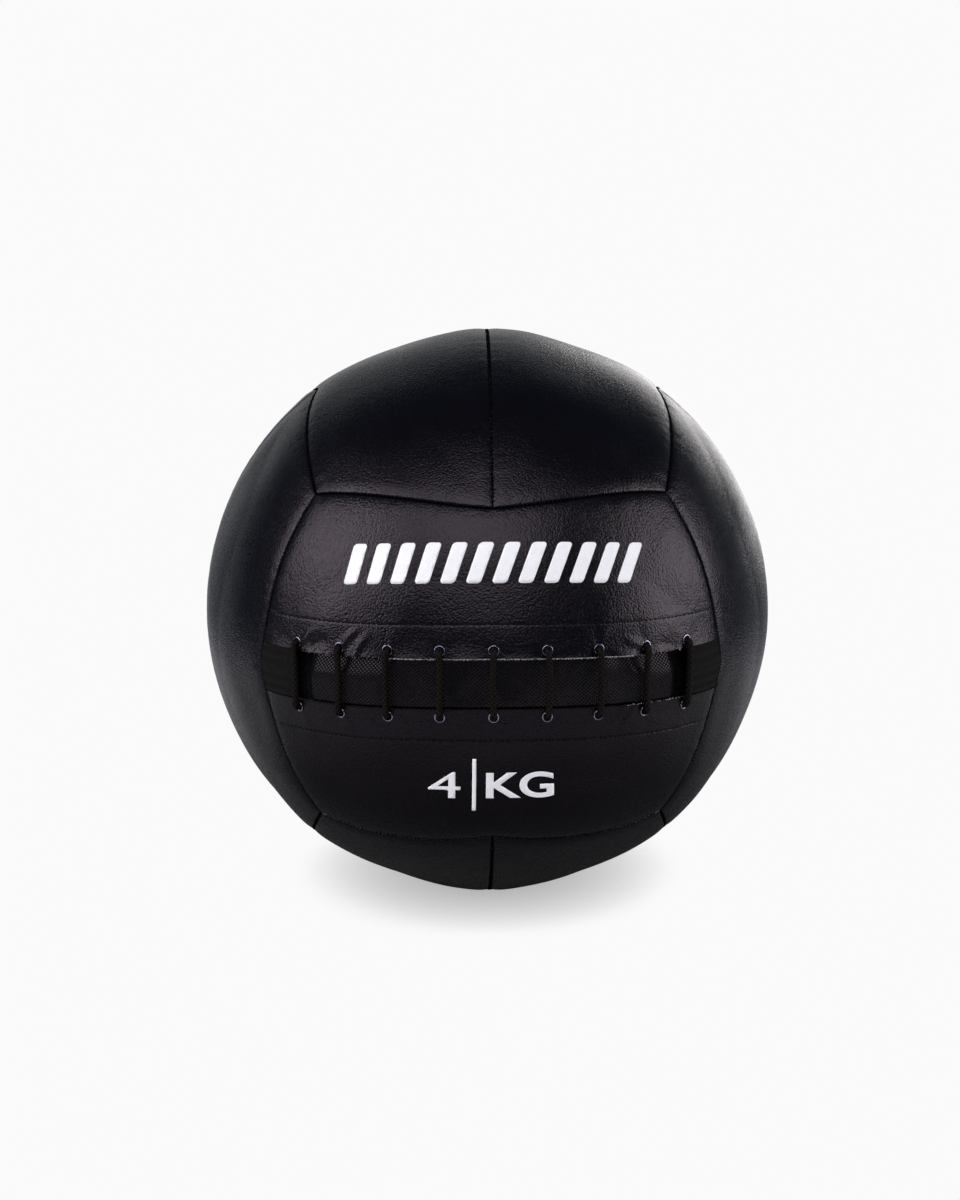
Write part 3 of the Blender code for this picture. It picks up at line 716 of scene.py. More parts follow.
class FrontSheet:
    """The surface of a front panel, above (side 1) or below (side -1) the closure.

    A place on it is given by its arc along the closure and its distance from the panel's free edge.
    """

    def __init__(self, side):
        self.side = side
        corners = [
            front_middle[-1],
            unit(-corner_azimuth, side * corner_elevation),
            unit(0, side * (90 - top_seam_half_angle)),
            unit(corner_azimuth, side * corner_elevation),
            front_middle[1],
        ]
        self.sewn = list(zip(corners, corners[1:]))
        start, self.start_corner, self.junction, self.end_corner, self.end = inset_corners(corners)
        self.edge_height = side * closure_gap / 2
        self.reach = self.seam_arc(closure_gap / 2)

    def seam_arc(self, distance):
        """How far right of the closure's middle the side seam passes, so far along it from its start."""
        share = np.array([distance / hem_radius / float(angle_between(self.end, self.end_corner))])
        place = along_arc(self.end[None, :], self.end_corner[None, :], share)[0]
        return math.atan2(place[0], -place[1]) * hem_radius

    def ends(self, arc):
        """The ends of the grid lines at these arcs: on the free edge, and on the seam opposite."""
        u = np.clip(arc / self.reach, -1.0, 1.0)
        corner = np.where(u[:, None] > 0, self.end_corner, self.start_corner)
        return closure_unit(arc, self.edge_height), along_arc(self.junction, corner, np.abs(u))

    def creases(self, arc, distance):
        """How far the pull of the lace lifts the panel."""
        lift = np.zeros(len(arc))
        for k, station in enumerate(station_arcs):
            across, back = arc - station, distance - hole_setback
            reach = np.hypot(across, back)
            turn = np.arctan2(across, back)
            seed = 3.1 * k + 11 * self.side
            fan = lumps(np.stack([turn * 1.3, reach * 25, 0 * turn + seed], axis=1), 1.0)
            drawn = np.exp(-reach / crease_reach) * (1 - np.exp(-((reach / crease_start) ** 2)))
            lift += crease_height * fan * drawn * smooth_fall(-back, -crease_edge, crease_edge)
        for start, end, height, width in ridges[self.side]:
            way = np.subtract(end, start)
            length = np.linalg.norm(way)
            along = ((arc - start[0]) * way[0] + (distance - start[1]) * way[1]) / length
            aside = ((arc - start[0]) * way[1] - (distance - start[1]) * way[0]) / length
            aside += ridge_bend * np.sin(3 * along / length)
            tapered = smooth_fall(along, 0.2 * length, length) * smooth_fall(-along, 0.0, ridge_start)
            lift += height * np.exp(-((aside / width) ** 2)) * tapered
        return lift

    def places(self, arc, distance):
        """Places on the outside of the panel."""
        low, high = self.ends(arc)
        share = np.clip(distance / (hem_radius * angle_between(low, high)), 0.0, 1.0)
        units = along_arc(low, high, share)
        lift = self.creases(arc, distance)
        between_eyelets = np.cos(2 * math.pi * (arc - station_arcs[0]) / lace_pitch)
        free = 1 - lip_swing_share - lip_swing_share * between_eyelets
        lift += lip_heights[self.side] * free * np.exp(-distance / lip_reach)
        from_stitches = (distance - topstitch_setback) / topstitch_groove_width
        lift -= topstitch_groove * np.exp(-(from_stitches**2))
        return cover_points(units, self.sewn) + units * lift[:, None]


def seat_of(node):
    """The seat of a turned CAD piece: its middle, Z along its axis and outwards, X along the closure."""
    points = np.array([vert.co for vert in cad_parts[node].data.vertices]) - np.array(centre)
    middle = (points.min(axis=0) + points.max(axis=0)) / 2
    axis = np.linalg.eigh(np.cov((points - middle).T))[1][:, 0]
    axis *= np.sign(axis @ middle)
    along = normalized(np.cross((0, 0, 1), axis))
    seat = Matrix((along, np.cross(axis, along), axis)).transposed().to_4x4()
    seat.translation = middle
    return seat


levels = ("upper", "lower")
seats = {level: [seat_of(f"{level}_eyelet_{k + 1}") for k in range(stations)] for level in levels}


def eyelet_pins(level):
    """A row of closed pins where the eyelets of a hem go through it."""
    pins = bmesh.new()
    for seat in seats[level]:
        bmesh.ops.create_cone(
            pins,
            cap_ends=True,
            segments=32,
            radius1=hole_radius,
            radius2=hole_radius,
            depth=4 * hem_stack,
            matrix=seat,
        )
    return pins


raw_edge = Finish("raw edge", (0.20, 0.19, 0.20), 0.95, gloss=0.1)
raw_fibres = raw_edge.place.cloud(0.0006, detail=4.0)
raw_along, raw_level = raw_edge.place.part(0), raw_edge.place.part(2)
frayed_middle = raw_along.math("ABSOLUTE", raw_along).between(*frayed_reach, 1.0, 0.04)
raw_shade = raw_fibres.between(0.35, 0.65) * frayed_middle * raw_level.between(0.165, 0.170)
raw_edge.paint(raw_shade, (0.002, 0.002, 0.002), (0.45, 0.42, 0.45))
raw_edge.emboss(raw_fibres, 0.0006)

sheets = {"upper": FrontSheet(1), "lower": FrontSheet(-1)}
for level, sheet in sheets.items():
    all_seams += sheet.sewn
    half = cloth_lines(sheet.reach + shoulder_radius)
    half = sheet.reach - half[half < sheet.reach - cloth_cell / 2]
    arcs = np.concatenate([-half, [0.0], half[::-1]])
    width = hem_radius * float(angle_between(*sheet.ends(np.zeros(1)))[0])
    lines = cloth_lines(width, start_turned=False)
    lines = lines[np.abs(lines - topstitch_setback) > topstitch_clear]
    lines = np.sort(np.concatenate([lines, topstitch_setback + np.array(topstitch_lines)]))
    bm, column, row = grid(len(arcs), len(lines))
    arc = arcs[column]
    length = hem_radius * angle_between(*sheet.ends(arc))
    past = np.maximum(lines[row] - even_reach, 0.0)
    distance = np.minimum(lines[row], even_reach) + past * (length - even_reach) / (width - even_reach)
    set_places(bm, sheet.places(arc, distance))
    free = {vert for vert, at_edge in zip(list(bm.verts), row == 0) if at_edge}
    face_outwards(bm)
    turn_in_edges(bm, [edge for edge in bm.edges if edge.is_boundary and not free.issuperset(edge.verts)])
    area = area_of(bm)
    panel = add_piece(f"front_{level}_cover", bm, black_cloth, "cover", f"front_{level}_panel")
    panel.data.materials.append(raw_edge.material)
    thicken(panel, panel_wall)
    panel.modifiers["Wall"].material_offset_rim = 1
    cut_away(panel, eyelet_pins(level))


# Facings
# A strip of woven tape behind each laced edge, which keeps the eyelets from tearing out. It is held by
# them and by the row of topstitching.
facing_width = 0.024
facing_setback = 0.0005
facing_columns = 170
facing_rows = 17
tape_yarn_pitch = 0.0011
eyelet_flange_width = 0.0006

tape = Finish("woven tape", (0.02, 0.02, 0.02), 0.9)
tape_weave = tape.cloth.part(0).wave(tape_yarn_pitch) * tape.cloth.part(1).wave(tape_yarn_pitch)
tape.paint(tape_weave.between(-1, 1), (0.012, 0.012, 0.012), (0.03, 0.03, 0.03))
tape.emboss(tape_weave, 0.00012)


def lay_out(bm, u, v):
    """Gives a grid its flat places, in metres, as the UV map "cloth"."""
    layer = bm.loops.layers.uv.new("cloth")
    for face in bm.faces:
        for loop in face.loops:
            loop[layer].uv = u[loop.vert.index], v[loop.vert.index]


facing_end = outer_station + eyelet_bore_radius + eyelet_wall + eyelet_flange_width + seat_gap
for level, sheet in sheets.items():
    arcs = np.linspace(-facing_end, facing_end, facing_columns)
    lines = np.linspace(facing_setback, facing_width, facing_rows)
    bm, column, row = grid(len(arcs), len(lines))
    places = sheet.places(arcs[column], lines[row])
    set_places(bm, places - normalized(places) * (panel_wall + seat_gap))
    lay_out(bm, arcs[column], lines[row])
    face_outwards(bm)
    facing = add_piece(f"{level}_facing_tape", bm, tape, "facing", f"{level}_facing")
    thicken(facing, facing_wall)
    cut_away(facing, eyelet_pins(level))
    cut = (facing_width - facing_setback, 2 * facing_end)


# Eyelets
# Small eyelets of dark nickel, rolled over at both faces of the hems. Each is turned from its section
# and set where the frame has it.
eyelet_flange_wall = 0.0004
eyelet_steps = 40

nickel = Finish("dark nickel", (0.18, 0.17, 0.23), 0.22, metallic=1.0)
nickel_scuffs = nickel.place.cloud(0.0015, detail=5.0)
nickel.set("Roughness", nickel_scuffs.between(0.3, 0.7, 0.05, 0.20))
nickel.paint(nickel_scuffs, (0.14, 0.13, 0.18), (0.42, 0.40, 0.54))

grip = hem_stack / 2 + seat_gap
barrel = eyelet_bore_radius + eyelet_wall
bead = eyelet_flange_width / 2
half = [(barrel, grip)]
for turn in np.linspace(-math.pi / 2, math.pi / 2, 9):
    out = barrel + bead + bead * math.cos(turn)
    half.append((out, grip + eyelet_flange_wall * (1 + math.sin(turn)) / 2))
for turn in np.linspace(0.2, math.pi / 2, 5):
    out = eyelet_bore_radius + eyelet_wall * (1 - math.sin(turn))
    half.append((out, grip + eyelet_flange_wall * math.cos(turn)))
eyelet_section = [(barrel, 0.0), *half, (eyelet_bore_radius, 0.0), *((r, -z) for r, z in reversed(half))]
for level in levels:
    for k, seat in enumerate(seats[level]):
        bm = turned(eyelet_section, eyelet_steps)
        bmesh.ops.transform(bm, matrix=seat, verts=bm.verts)
        add_piece(f"{level}_eyelet_ring_{k + 1}", bm, nickel, "eyelet", f"{level}_eyelet_{k + 1}")


# Closure flap
# A flap of black vinyl under the lace, embossed with small diamonds. The stuffing swells it up level
# with the hems, and it lies deep under them and under the tabs.
flap_wall = 0.0010
flap_half_width = 0.030
flap_crown_drop = 0.0007
flap_end_slope = 0.014
flap_flush = 0.0136
flap_tuck = 0.0036
tuck_heights = (0.003, 0.0150)
tuck_arcs = (0.050, 0.085)
flap_buckle = 0.0009
flap_buckle_width = 0.018
flap_columns = 321
flap_rows = 81
flap_ease_shares = (1.15, 1.02)
diamond_pitch = 0.0026
diamond_slope_share = 1.2
lace_bend_radius = 0.0024
under_hem = closure_gap / 2 + hole_setback - lace_radius - seat_gap
lace_run_depth = hem_stack + seat_gap + eyelet_flange_wall + lace_bend_radius
flap_depth = lace_run_depth + lace_radius + 2 * seat_gap
flap_radius = hem_radius - flap_depth

vinyl = Finish("embossed vinyl", (0.003, 0.003, 0.003), 0.36, gloss=0.16)
vinyl.shader.inputs["Specular Tint"].default_value = (1.0, 0.90, 1.0, 1)
along, up = vinyl.cloth.part(0), vinyl.cloth.part(1) * diamond_slope_share
rising, falling = (along + up).lines(diamond_pitch), (along - up).lines(diamond_pitch)
grooves = rising.math("MINIMUM", rising, falling)
vinyl.emboss(grooves.between(0.0, 0.6), 0.0004)
vinyl.set("Roughness", grooves.between(0.0, 0.5, 0.60, 0.27))
# Painted shade: the grooves between the diamonds are painted darker than the raised diamonds.
vinyl.paint(grooves.between(0.0, 0.5), (0.0004, 0.0003, 0.0004), (0.0024, 0.0020, 0.0026))


def side_seam_arcs(heights):
    """How far right of the closure's middle the side seam passes, at heights above the closure's line."""
    halves = ["upper" if height > 0 else "lower" for height in heights]
    return np.array([sheets[half].seam_arc(abs(height)) for half, height in zip(halves, heights)])


heights = np.linspace(-flap_half_width, flap_half_width, flap_rows)
reaches = side_seam_arcs(heights) - (seam_gap + panel_wall + 2 * seat_gap)
shares = np.linspace(-1, 1, flap_columns)
bm, column, row = grid(len(shares), len(heights))
height = heights[row]
arc = shares[column] * reaches[row]
rise = smooth_fall(np.abs(height), flap_flush, under_hem)
rise *= smooth_fall(np.abs(arc), outer_station - flap_end_slope, outer_station)
buckle = flap_buckle * lumps(np.stack([arc, height, 0 * arc], axis=1), flap_buckle_width) * rise
tuck = flap_tuck * (1 - smooth_fall(height, *tuck_heights)) * (1 - smooth_fall(np.abs(arc), *tuck_arcs))
swell = (hem_radius - flap_crown_drop - flap_radius - tuck) * rise
set_places(bm, closure_unit(arc, height) * (flap_radius + swell - np.abs(buckle))[:, None])
lay_out(bm, arc, height)
face_outwards(bm)
area = area_of(bm)
flap = add_piece("vinyl_flap", bm, vinyl, "flap", "closure_flap")
thicken(flap, flap_wall)
cut = (2 * flap_half_width * flap_ease_shares[0], 2 * float(reaches.max()) * flap_ease_shares[1])
min(area, cut[0] * cut[1])


# Webbing tabs
# A strip of ribbed webbing at each end of the closure, folded double. Its fold is beside the last
# lace, and its ends are caught in the side seam.
tab_wall = 0.0012
tab_fold_gap = 0.0006
tab_drop = 0.0008
tab_crown = 0.0004
tab_bulge = 0.0008
tab_fold_steps = 14
tab_run_steps = 89
tab_rows = 41
rib_pitch = 0.0013
rib_height = 0.00022
yarn_pitch = 0.0007

webbing = Finish("ribbed webbing", (0.008, 0.008, 0.006), 0.6, gloss=0.08)
run, over = webbing.cloth.part(0), webbing.cloth.part(1)
ribs = run.lines(rib_pitch)
yarns = (over + run * 0.3).lines(yarn_pitch)
webbing.emboss(ribs + yarns * 0.5, 0.0004)
# Painted shade: the webbing is painted near black in the grooves between its ribs and yarns and lighter on
# their raised tops.
webbing.paint(ribs * yarns, (0.0008, 0.0008, 0.0007), (0.0150, 0.0140, 0.0124))

fold_radius = (tab_wall + tab_fold_gap) / 2
fold_arc = closure_half_length - tab_length + tab_wall / 2 + fold_radius
edge_height = closure_gap / 2 - 2 * seat_gap
for side, way in (("left", -1), ("right", 1)):
    turns = np.linspace(0, math.pi, tab_fold_steps + 1)
    runs = np.linspace(1, 0, tab_run_steps + 1)[:-1]
    heights = np.linspace(-edge_height, edge_height, tab_rows)
    ends = side_seam_arcs(heights) - 2 * seat_gap
    bm, column, row = grid(2 * len(runs) + len(turns), len(heights))
    turn = np.concatenate([0 * runs, turns, 0 * runs + math.pi])[column]
    past = np.concatenate([runs, 0 * turns, runs[::-1]])[column]
    height = heights[row]
    arc = fold_arc - fold_radius * np.sin(turn) + (ends[row] - fold_arc) * past
    length = (ends[row] - fold_arc) * (1 - past) * np.sign(turn - math.pi / 2) + fold_radius * turn
    outer = hem_radius - tab_drop - tab_wall / 2 + tab_crown * np.cos(height / edge_height * 1.4)
    rib = rib_height * np.abs(np.sin(math.pi * arc / rib_pitch)) * (past > 0) * (turn == 0)
    bulge = tab_bulge * np.sin(math.pi * np.clip(past, 0, 1)) * np.cos(turn)
    places = closure_unit(way * arc, height)
    set_places(bm, places * (outer - fold_radius * (1 - np.cos(turn)) + rib + bulge)[:, None])
    lay_out(bm, length, height)
    face_outwards(bm)
    tab = add_piece(f"{side}_webbing", bm, webbing, "webbing", f"{side}_tab")
    thicken(tab, tab_wall, offset=0.0)


# Lace
# One round braided lace, knotted behind the first eyelet and behind the last. It crosses over the flap
# at each station and runs behind the hem to the next.
lace_sides = 20
lace_step = 0.00055
lace_bend_steps = 8
lace_tail = 0.010
braid_pitch = 0.0034
braid_rounds = 4
knot_wrap_pitch = 0.0014
knot_wrap_height = 0.0002
slacks = (0.0004, 0.0011, -0.0005, 0.0007, -0.0006, 0.0009, 0.0006, -0.0009, 0.0005)
knot_radius = (lace_run_depth + lace_radius - hem_stack - seat_gap) / 2
knot_depth = hem_stack + seat_gap + knot_radius

cord = Finish("braided cord", (0.006, 0.005, 0.004), 0.65, gloss=0.06)
run, round_it = cord.cloth.part(0) * (1 / braid_pitch), cord.cloth.part(1) * braid_rounds
strands = run.math("MAXIMUM", (run + round_it).lines(1.0), (run - round_it).lines(1.0))
cord.emboss(strands, 0.00030)
# Painted shade: the cord is painted dark in the pits between its strands and lighter on their crowns.
cord.paint(strands.between(0.55, 1.0), (0.0008, 0.0006, 0.0005), (0.0080, 0.0058, 0.0050))


def bent_path(corners):
    """Places along a line through the corners, with each corner rounded as the lace bends."""
    places = [corners[0]]
    for before, corner, after in zip(corners, corners[1:], corners[2:]):
        back, on = (before - corner).normalized(), (after - corner).normalized()
        turn = math.pi - back.angle(on)
        setback = lace_bend_radius * math.tan(turn / 2)
        if setback < lace_radius / 2:
            places.append(corner)
            continue
        middle = corner + (back + on).normalized() * lace_bend_radius / math.cos(turn / 2)
        start, end = corner + back * setback - middle, corner + on * setback - middle
        for k in range(lace_bend_steps + 1):
            way = start.slerp(end, k / lace_bend_steps).normalized()
            places.append(middle + way * lace_bend_radius)
    return [*places, corners[-1]]


def between_seats(a, b, share):
    """A place behind a hem, between two neighbouring eyelets, as deep as the lace runs there."""
    place = a.translation.lerp(b.translation, share)
    radius = (a.translation.length + b.translation.length) / 2 + hem_stack / 2
    return place.normalized() * radius


inside = Vector((0, 0, hem_stack / 2 - lace_run_depth))
outside = Vector((0, 0, hem_stack / 2 + seat_gap + eyelet_flange_wall + lace_bend_radius))
tail = [lace_tail + 2 * knot_radius, lace_tail + knot_radius, lace_tail]
first_hem, last_hem = seats["upper"], seats["upper"] if stations % 2 == 0 else seats["lower"]
corners = []
for reach in tail:
    place = between_seats(first_hem[0], first_hem[1], reach / lace_pitch)
    corners.append(place - place.normalized() * knot_depth)
for k in range(stations):
    levels_in_turn = levels if k % 2 == 0 else levels[::-1]
    start, end = (seats[level][k] for level in levels_in_turn)
    corners += [start @ inside, start @ outside, end @ outside, end @ inside]
    if k + 1 < stations:
        place = between_seats(end, seats[levels_in_turn[1]][k + 1], 0.5)
        corners.append(place - place.normalized() * lace_run_depth)
for reach in reversed(tail):
    place = between_seats(last_hem[-1], last_hem[-2], reach / lace_pitch)
    corners.append(place - place.normalized() * knot_depth)

path = np.array(bent_path(corners))
lengths = np.concatenate([[0.0], np.cumsum(np.linalg.norm(np.diff(path, axis=0), axis=1))])
steps = np.linspace(0, lengths[-1], round(lengths[-1] / lace_step))
path = np.stack([np.interp(steps, lengths, path[:, axis]) for axis in range(3)], axis=1)
for k, slack in enumerate(slacks):
    upper, lower = (np.array(seats[level][k].translation) for level in levels)
    bar = lower - upper
    share = (path - upper) @ bar / (bar @ bar)
    right = np.array(seats["upper"][k].col[0][:3])
    near = np.abs((path - upper) @ right) < lace_pitch / 2
    sway = np.sin(math.pi * np.clip(share, 0, 1)) * near
    path += slack * sway[:, None] * right
tangents = normalized(np.gradient(path, axis=0))
side = np.cross(tangents[0], (0, 0, 1))
sides = []
for tangent in tangents:
    side = normalized(side - tangent * (side @ tangent))
    sides.append(side)
sides = np.array(sides)
raised = np.cross(tangents, sides)
from_end = np.minimum(steps, steps[-1] - steps)
in_knot = smooth_fall(np.abs(from_end - knot_radius), 0.6 * knot_radius, 1.1 * knot_radius)
wraps = knot_wrap_height * (np.sin(2 * math.pi * steps / knot_wrap_pitch) - 1)
radii = lace_radius + in_knot * (knot_radius - lace_radius + wraps)
radii *= np.sqrt(np.clip(from_end / lace_radius, 0.05, 1.0))

bm, column, row = grid(len(path), lace_sides + 1)
turn = 2 * math.pi * row / lace_sides
outwards = sides[column] * np.cos(turn)[:, None] + raised[column] * np.sin(turn)[:, None]
set_places(bm, path[column] + outwards * radii[column][:, None])
lay_out(bm, steps[column], row / lace_sides)
bmesh.ops.remove_doubles(bm, verts=bm.verts, dist=1e-7)
bmesh.ops.holes_fill(bm, edges=[edge for edge in bm.edges if edge.is_boundary], sides=0)
bmesh.ops.recalc_face_normals(bm, faces=bm.faces)
add_piece("braided_lace", bm, cord, "lace", "lace")


# Seam thread
# Bonded black thread. Small stitches show deep in every seam, and a row of longer ones holds each
# facing to its panel.
thread_radius = 0.00032
seam_stitch_pitch = 0.0025
seam_stitch_bite = 0.0008
seam_stitch_end_gap = 0.003
topstitch_end_gap = 0.006
topstitch_pitch = 0.0034
topstitch_length = 0.0019

bonded_thread = Finish("bonded thread", (0.0015, 0.0015, 0.0018), 0.75, gloss=0.06)
bonded_thread.emboss(bonded_thread.place.cloud(0.0003), 0.0001)


def add_stitch(bm, start, end):
    """A short length of thread between two places."""
    way = Vector(end - start)
    size = (thread_radius, thread_radius, way.length / 2 + thread_radius)
    place = Matrix.LocRotScale(Vector(start + end) / 2, way.to_track_quat("Z", "Y"), size)
    bmesh.ops.create_icosphere(bm, subdivisions=1, radius=1, matrix=place)


bm = bmesh.new()
sewn = set()
for start, end in all_seams:
    pair = frozenset(tuple(np.round(point, 5)) for point in (start, end))
    if pair in sewn:
        continue
    sewn.add(pair)
    length = ball_radius * float(angle_between(start, end))
    count = int((length - 2 * seam_stitch_end_gap) / seam_stitch_pitch)
    shares = (np.arange(count) + 0.5 - count / 2) * seam_stitch_pitch / length + 0.5
    along = along_arc(start[None, :], end[None, :], shares)
    aside = normalized(np.cross(start, end)) * (seam_gap / 2 + seam_stitch_bite) / ball_radius
    near = cover_points(along + aside, [(start, end)])
    far = cover_points(along - aside, [(start, end)])
    for place, other in zip(near, far):
        add_stitch(bm, place, other)
add_piece("seam_stitches", bm, bonded_thread, "thread")

bm = bmesh.new()
for level, sheet in sheets.items():
    end = sheet.reach - topstitch_end_gap
    arcs = np.arange(-end, end, topstitch_pitch)
    setback = np.full(len(arcs), topstitch_setback)
    near = sheet.places(arcs, setback)
    far = sheet.places(arcs + topstitch_length, setback)
    for place, other in zip(near, far):
        add_stitch(bm, place, other)
add_piece("facing_topstitches", bm, bonded_thread, "thread")


# Frayed edges
# Pale fibres of the cloth's backing that stand out from the raw edges of the front panels, most of
# them in the middle of the upper one.
fray_radius = 0.00010
fray_lengths = (0.0005, 0.0014)
fray_root = 0.002
fray_inset = 0.0002
rng = np.random.default_rng(7)
frayed = Finish("frayed fibres", (0.50, 0.48, 0.50), 0.9)
frayed.paint(frayed.place.cloud(0.002), (0.30, 0.28, 0.30), (0.80, 0.76, 0.80))

bm = bmesh.new()
for level, start, end, count in (
    ("upper", -0.062, 0.084, 1500),
    ("upper", -0.120, 0.120, 160),
    ("lower", 0.080, 0.122, 90),
):
    sheet = sheets[level]
    arcs = rng.uniform(start, end, count)
    lengths = rng.uniform(*fray_lengths, count)
    edge = sheet.places(arcs, np.zeros(count))
    back = sheet.places(arcs, np.full(count, fray_root))
    for place, behind, length in zip(edge, back, lengths):
        out = Vector(place).normalized()
        way = Vector(place - behind).normalized() + out * rng.uniform(0.0, 0.8)
        way += Vector(rng.uniform(-0.6, 0.6, 3))
        way.normalize()
        root = Vector(place) - out * rng.uniform(fray_inset, panel_wall - fray_inset)
        seat = Matrix.LocRotScale(root + way * length * 0.4, way.to_track_quat("Z", "Y"), None)
        bmesh.ops.create_cone(
            bm,
            cap_ends=True,
            segments=3,
            radius1=fray_radius,
            radius2=fray_radius / 3,
            depth=length,
            matrix=seat,
        )
add_piece("frayed_edges", bm, frayed, "cover")


# Print
# White screen print on the front: a band of plain slanted bars above the closure, and below it the
# ball's weight in figures. The ink is a thin layer that follows the cloth.
print_tilt = 15.3
ink_top = 0.00013
ink_wall = 0.00008
ink_cell = 0.0025
band_elevation = 8.75
band_bars = 12
band_width = 0.183
band_height = 0.0235
bar_width = 0.0088
bar_lean = 0.0085
bar_corner = 0.0022
weight_elevation = -36.1
figure_height = 0.0185
rule_size = (0.0023, 0.037)
rule_corner = 0.0004

ink = Finish("white print", (0.86, 0.86, 0.87), 0.5)
ink_grain = ink.place.drift(0.0012, 0.0008).grains(pebble_width)
ink.paint(ink.place.cloud(0.004, detail=4.0), (0.80, 0.80, 0.81), (0.90, 0.90, 0.91))
ink.emboss(1 - ink_grain, pebble_height * 0.7)


def rounded_plate(bm, width, height, corner, lean, middle):
    """A flat plate with round corners, leaning to the right, in the XY plane."""
    plate = bmesh.new()
    bmesh.ops.create_grid(plate, x_segments=1, y_segments=1, size=0.5)
    bmesh.ops.scale(plate, verts=plate.verts, vec=(width, height, 1))
    bmesh.ops.bevel(
        plate,
        geom=plate.verts,
        offset=corner,
        affect="VERTICES",
        segments=6,
        profile=0.5,
        material=-1,
    )
    for vert in plate.verts:
        vert.co = (vert.co.x + vert.co.y / height * lean + middle[0], vert.co.y + middle[1], 0)
    add_flat(bm, plate)


def add_flat(bm, flat):
    """Adds a flat shape to the others of a print."""
    mesh = mesh_from("flat", flat)
    bm.from_mesh(mesh)
    bpy.data.meshes.remove(mesh)


def figures(bm, text, weight, width, height, middle):
    """Plain figures of a given weight and size, in the XY plane."""
    curve = bpy.data.curves.new("figures", "FONT")
    curve.body = text
    curve.offset = weight
    words = add_object("figures", curve)
    mesh = bpy.data.meshes.new_from_object(words.evaluated_get(bpy.context.evaluated_depsgraph_get()))
    bpy.data.objects.remove(words)
    flat = bmesh.new()
    flat.from_mesh(mesh)
    places = np.array([vert.co for vert in flat.verts])
    low, high = places.min(axis=0), places.max(axis=0)
    for vert in flat.verts:
        x = (vert.co.x - (low[0] + high[0]) / 2) * width / (high[0] - low[0])
        y = (vert.co.y - (low[1] + high[1]) / 2) * height / (high[1] - low[1])
        vert.co = (x + middle[0], y + middle[1], 0)
    bpy.data.meshes.remove(mesh)
    add_flat(bm, flat)


def print_on(name, bm, panel, elevation):
    """Lays a flat print on a panel, with its middle as high as this in the tilted view of the print."""
    for axis in range(2):
        normal = Vector((1, 0, 0)) if axis == 0 else Vector((0, 1, 0))
        reach = max(abs(vert.co[axis]) for vert in bm.verts)
        for place in np.arange(-reach, reach, ink_cell):
            geom = [*bm.verts, *bm.edges, *bm.faces]
            bmesh.ops.bisect_plane(bm, geom=geom, plane_co=normal * place, plane_no=normal)
    tree = BVHTree.FromObject(bpy.data.objects[panel], bpy.context.evaluated_depsgraph_get())
    tilt = Matrix.Rotation(math.radians(-print_tilt), 3, "X")
    for vert in bm.verts:
        high = math.radians(elevation) + vert.co.y / ball_radius
        right = vert.co.x / ball_radius / math.cos(high)
        way = tilt @ Vector(unit(math.degrees(right), math.degrees(high)))
        spot = tree.ray_cast(centre + way * 2 * ball_radius, -way)[0]
        vert.co = spot - centre + way * ink_top
    bmesh.ops.remove_doubles(bm, verts=bm.verts, dist=1e-6)
    face_outwards(bm)
    thicken(add_piece(name, bm, ink, "print"), ink_wall)


bm = bmesh.new()
for middle in np.linspace(-1, 1, band_bars) * (band_width - bar_width - bar_lean) / 2:
    rounded_plate(bm, bar_width, band_height, bar_corner, bar_lean, (middle, 0.0))
print_on("band_print", bm, "front_upper_cover", band_elevation)
bm = bmesh.new()
figures(bm, "4", 0.0, 0.0195, figure_height, (-0.0290, 0.0))
rounded_plate(bm, *rule_size, rule_corner, 0.0, (-0.0112, 0.0))
figures(bm, "KG", 0.023, 0.0405, figure_height, (0.0160, 0.0))
print_on("weight_print", bm, "front_lower_cover", weight_elevation)


# Floor, light and camera
# A white sheet that the ball stands on, in front of a white backdrop. Soft boxes stand to the left and
# right of the camera and over it, a small one behind the ball lights its right edge, and the rest of
# the studio is dim. To the camera the sheet glows white, with a painted contact shadow where the ball
# shuts out the open sky. Glossy surfaces see the sheet painted darker close to the ball and in front
# of it: painted shade in its reflections.
backdrop = 0.956
sheet_radius = 0.60
painted_shadow_reach = 0.060
painted_gloss_shade_reach = (0.22, 0.50)
painted_gloss_shade_share = 0.64
box_distance = 1.6
camera_azimuth = -1.2
camera_elevation = 15.3
camera_distance = 1.75
camera_lens = 83.9
picture_height = 1200
middle_right = 7.4
middle_down = 9.2


def ray_kinds(tree):
    """Wires that are 1 for rays from the camera, and for those that a glossy or a clear surface sends."""
    rays = tree.nodes.new("ShaderNodeLightPath").outputs
    return Wire(rays["Is Camera Ray"]), Wire(rays["Is Glossy Ray"]) + Wire(rays["Is Transmission Ray"])


floor_finish = Finish("white sheet", (0.8, 0.8, 0.8), 0.5)
tree = floor_finish.material.node_tree
tree.nodes.remove(floor_finish.shader)
place = floor_finish.place
# Painted contact shadow: to the camera the sheet's glow is darkened where the ball shuts out the open sky.
open_sky = place.node("ShaderNodeAmbientOcclusion", {"samples": 16}, {"Distance": painted_shadow_reach}, output=1)
shade = open_sky.between(0.0, 0.52, 0.42, 1.0)
white = shade.node("ShaderNodeEmission", inputs={"Color": shade * backdrop})
from_camera, from_gloss = ray_kinds(tree)
# Painted shade: to glossy rays the sheet is drawn darker close to the ball and in front of it.
near = place.size().between(*painted_gloss_shade_reach, painted_gloss_shade_share, 0.0) * place.part(1).between(0.0, 0.3, 1.0, 0.3)
matt = place.node("ShaderNodeBsdfDiffuse", inputs={"Color": 0.8 - from_gloss * near})
surface = place.node("ShaderNodeMixShader", inputs={0: from_camera, 1: matt, 2: white})
tree.links.new(surface.socket, tree.nodes["Material Output"].inputs["Surface"])

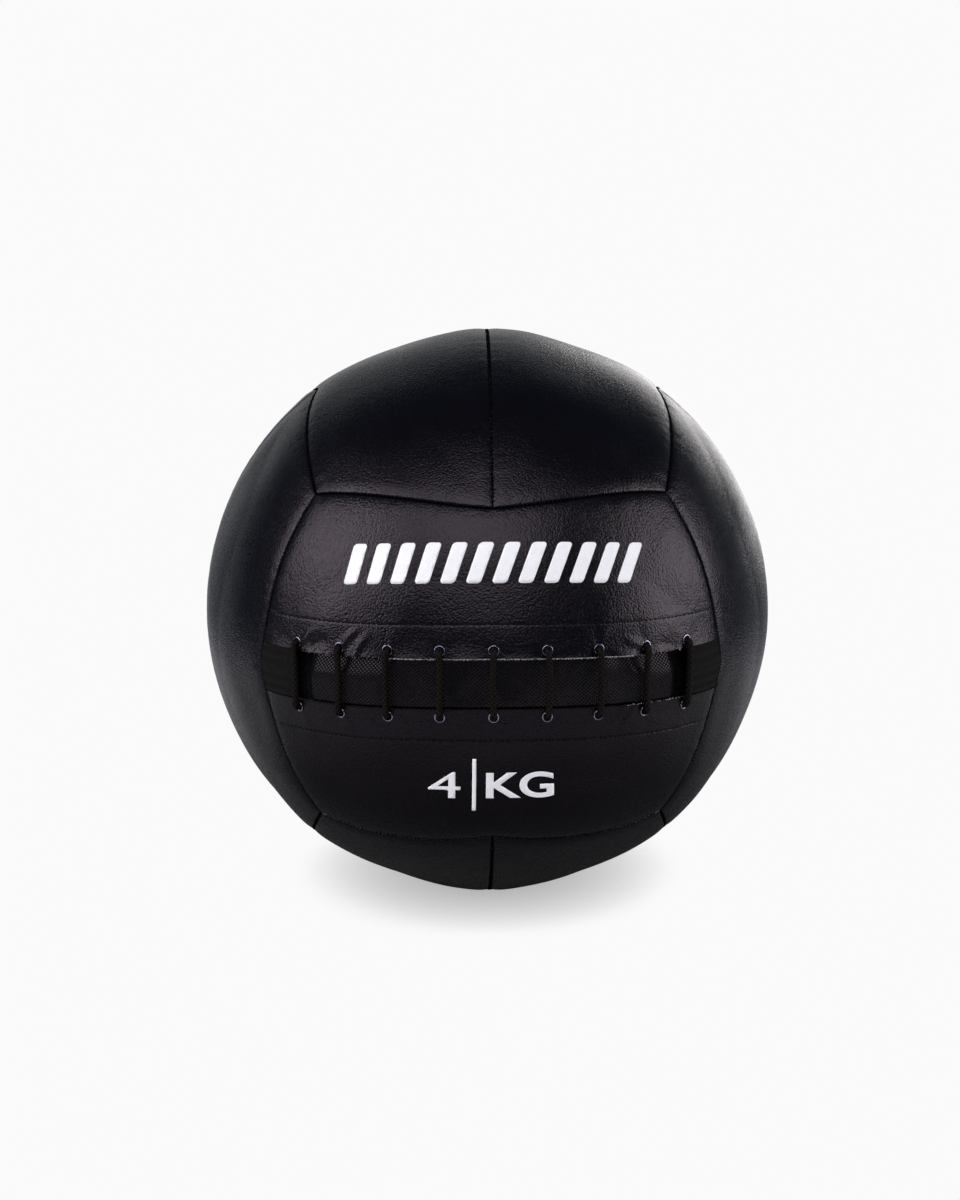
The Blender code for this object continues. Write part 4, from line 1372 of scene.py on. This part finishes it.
bm = bmesh.new()
bmesh.ops.create_circle(bm, cap_ends=True, radius=sheet_radius, segments=96)
mesh = mesh_from("floor", bm)
mesh.materials.append(floor_finish.material)
floor = add_object("floor", mesh)

world = bpy.data.worlds.new("studio")
bpy.context.scene.world = world
world.use_nodes = True
tree = world.node_tree
sky = Wire(tree.nodes.new("ShaderNodeTexCoord").outputs["Generated"])
behind = sky.part(1).between(0.70, 1.0) * sky.part(2).between(0.80, 0.40) * 0.6
from_camera, from_gloss = ray_kinds(tree)
seen = (from_camera + from_gloss * behind).between(0.0, 1.0)
studio = seen.tint((0.05, 0.07, 0.10), (backdrop, backdrop, backdrop))
tree.links.new(studio.socket, tree.nodes["Background"].inputs["Color"])


def aim_at_ball(thing, azimuth, elevation, distance):
    """Stands a lamp or the camera off in a direction, facing the middle of the ball."""
    way = Vector(unit(azimuth, elevation))
    thing.location = centre + way * distance
    thing.rotation_euler = (-way).to_track_quat("-Z", "Y").to_euler()
    return thing


def soft_box(name, azimuth, elevation, width, height, colour, radiance):
    """A lamp of even radiance that faces the ball from a direction."""
    lamp = bpy.data.lights.new(name, "AREA")
    lamp.shape = "RECTANGLE"
    lamp.size = width
    lamp.size_y = height
    lamp.color = colour
    lamp.energy = radiance * math.pi * width * height
    box = aim_at_ball(add_object(name, lamp), azimuth, elevation, box_distance)
    box.visible_camera = False


soft_box("left_box", -68, 21, 0.90, 1.15, (1.0, 0.96, 0.98), 5.0)
soft_box("right_box", 79, 11, 0.95, 1.15, (1.0, 0.96, 0.98), 4.6)
soft_box("top_box", -8, 41, 1.55, 1.3, (0.98, 0.96, 1.0), 2.8)
soft_box("rim_box", 158, 5, 0.6, 0.8, (1.0, 0.97, 0.95), 2.4)

lens = bpy.data.cameras.new("camera")
lens.lens = camera_lens
lens.sensor_width = 36
lens.shift_x = -middle_right / picture_height
lens.shift_y = middle_down / picture_height
camera = aim_at_ball(add_object("camera", lens), camera_azimuth, camera_elevation, camera_distance)
bpy.context.scene.camera = camera
bpy.context.scene.view_settings.view_transform = "Standard"
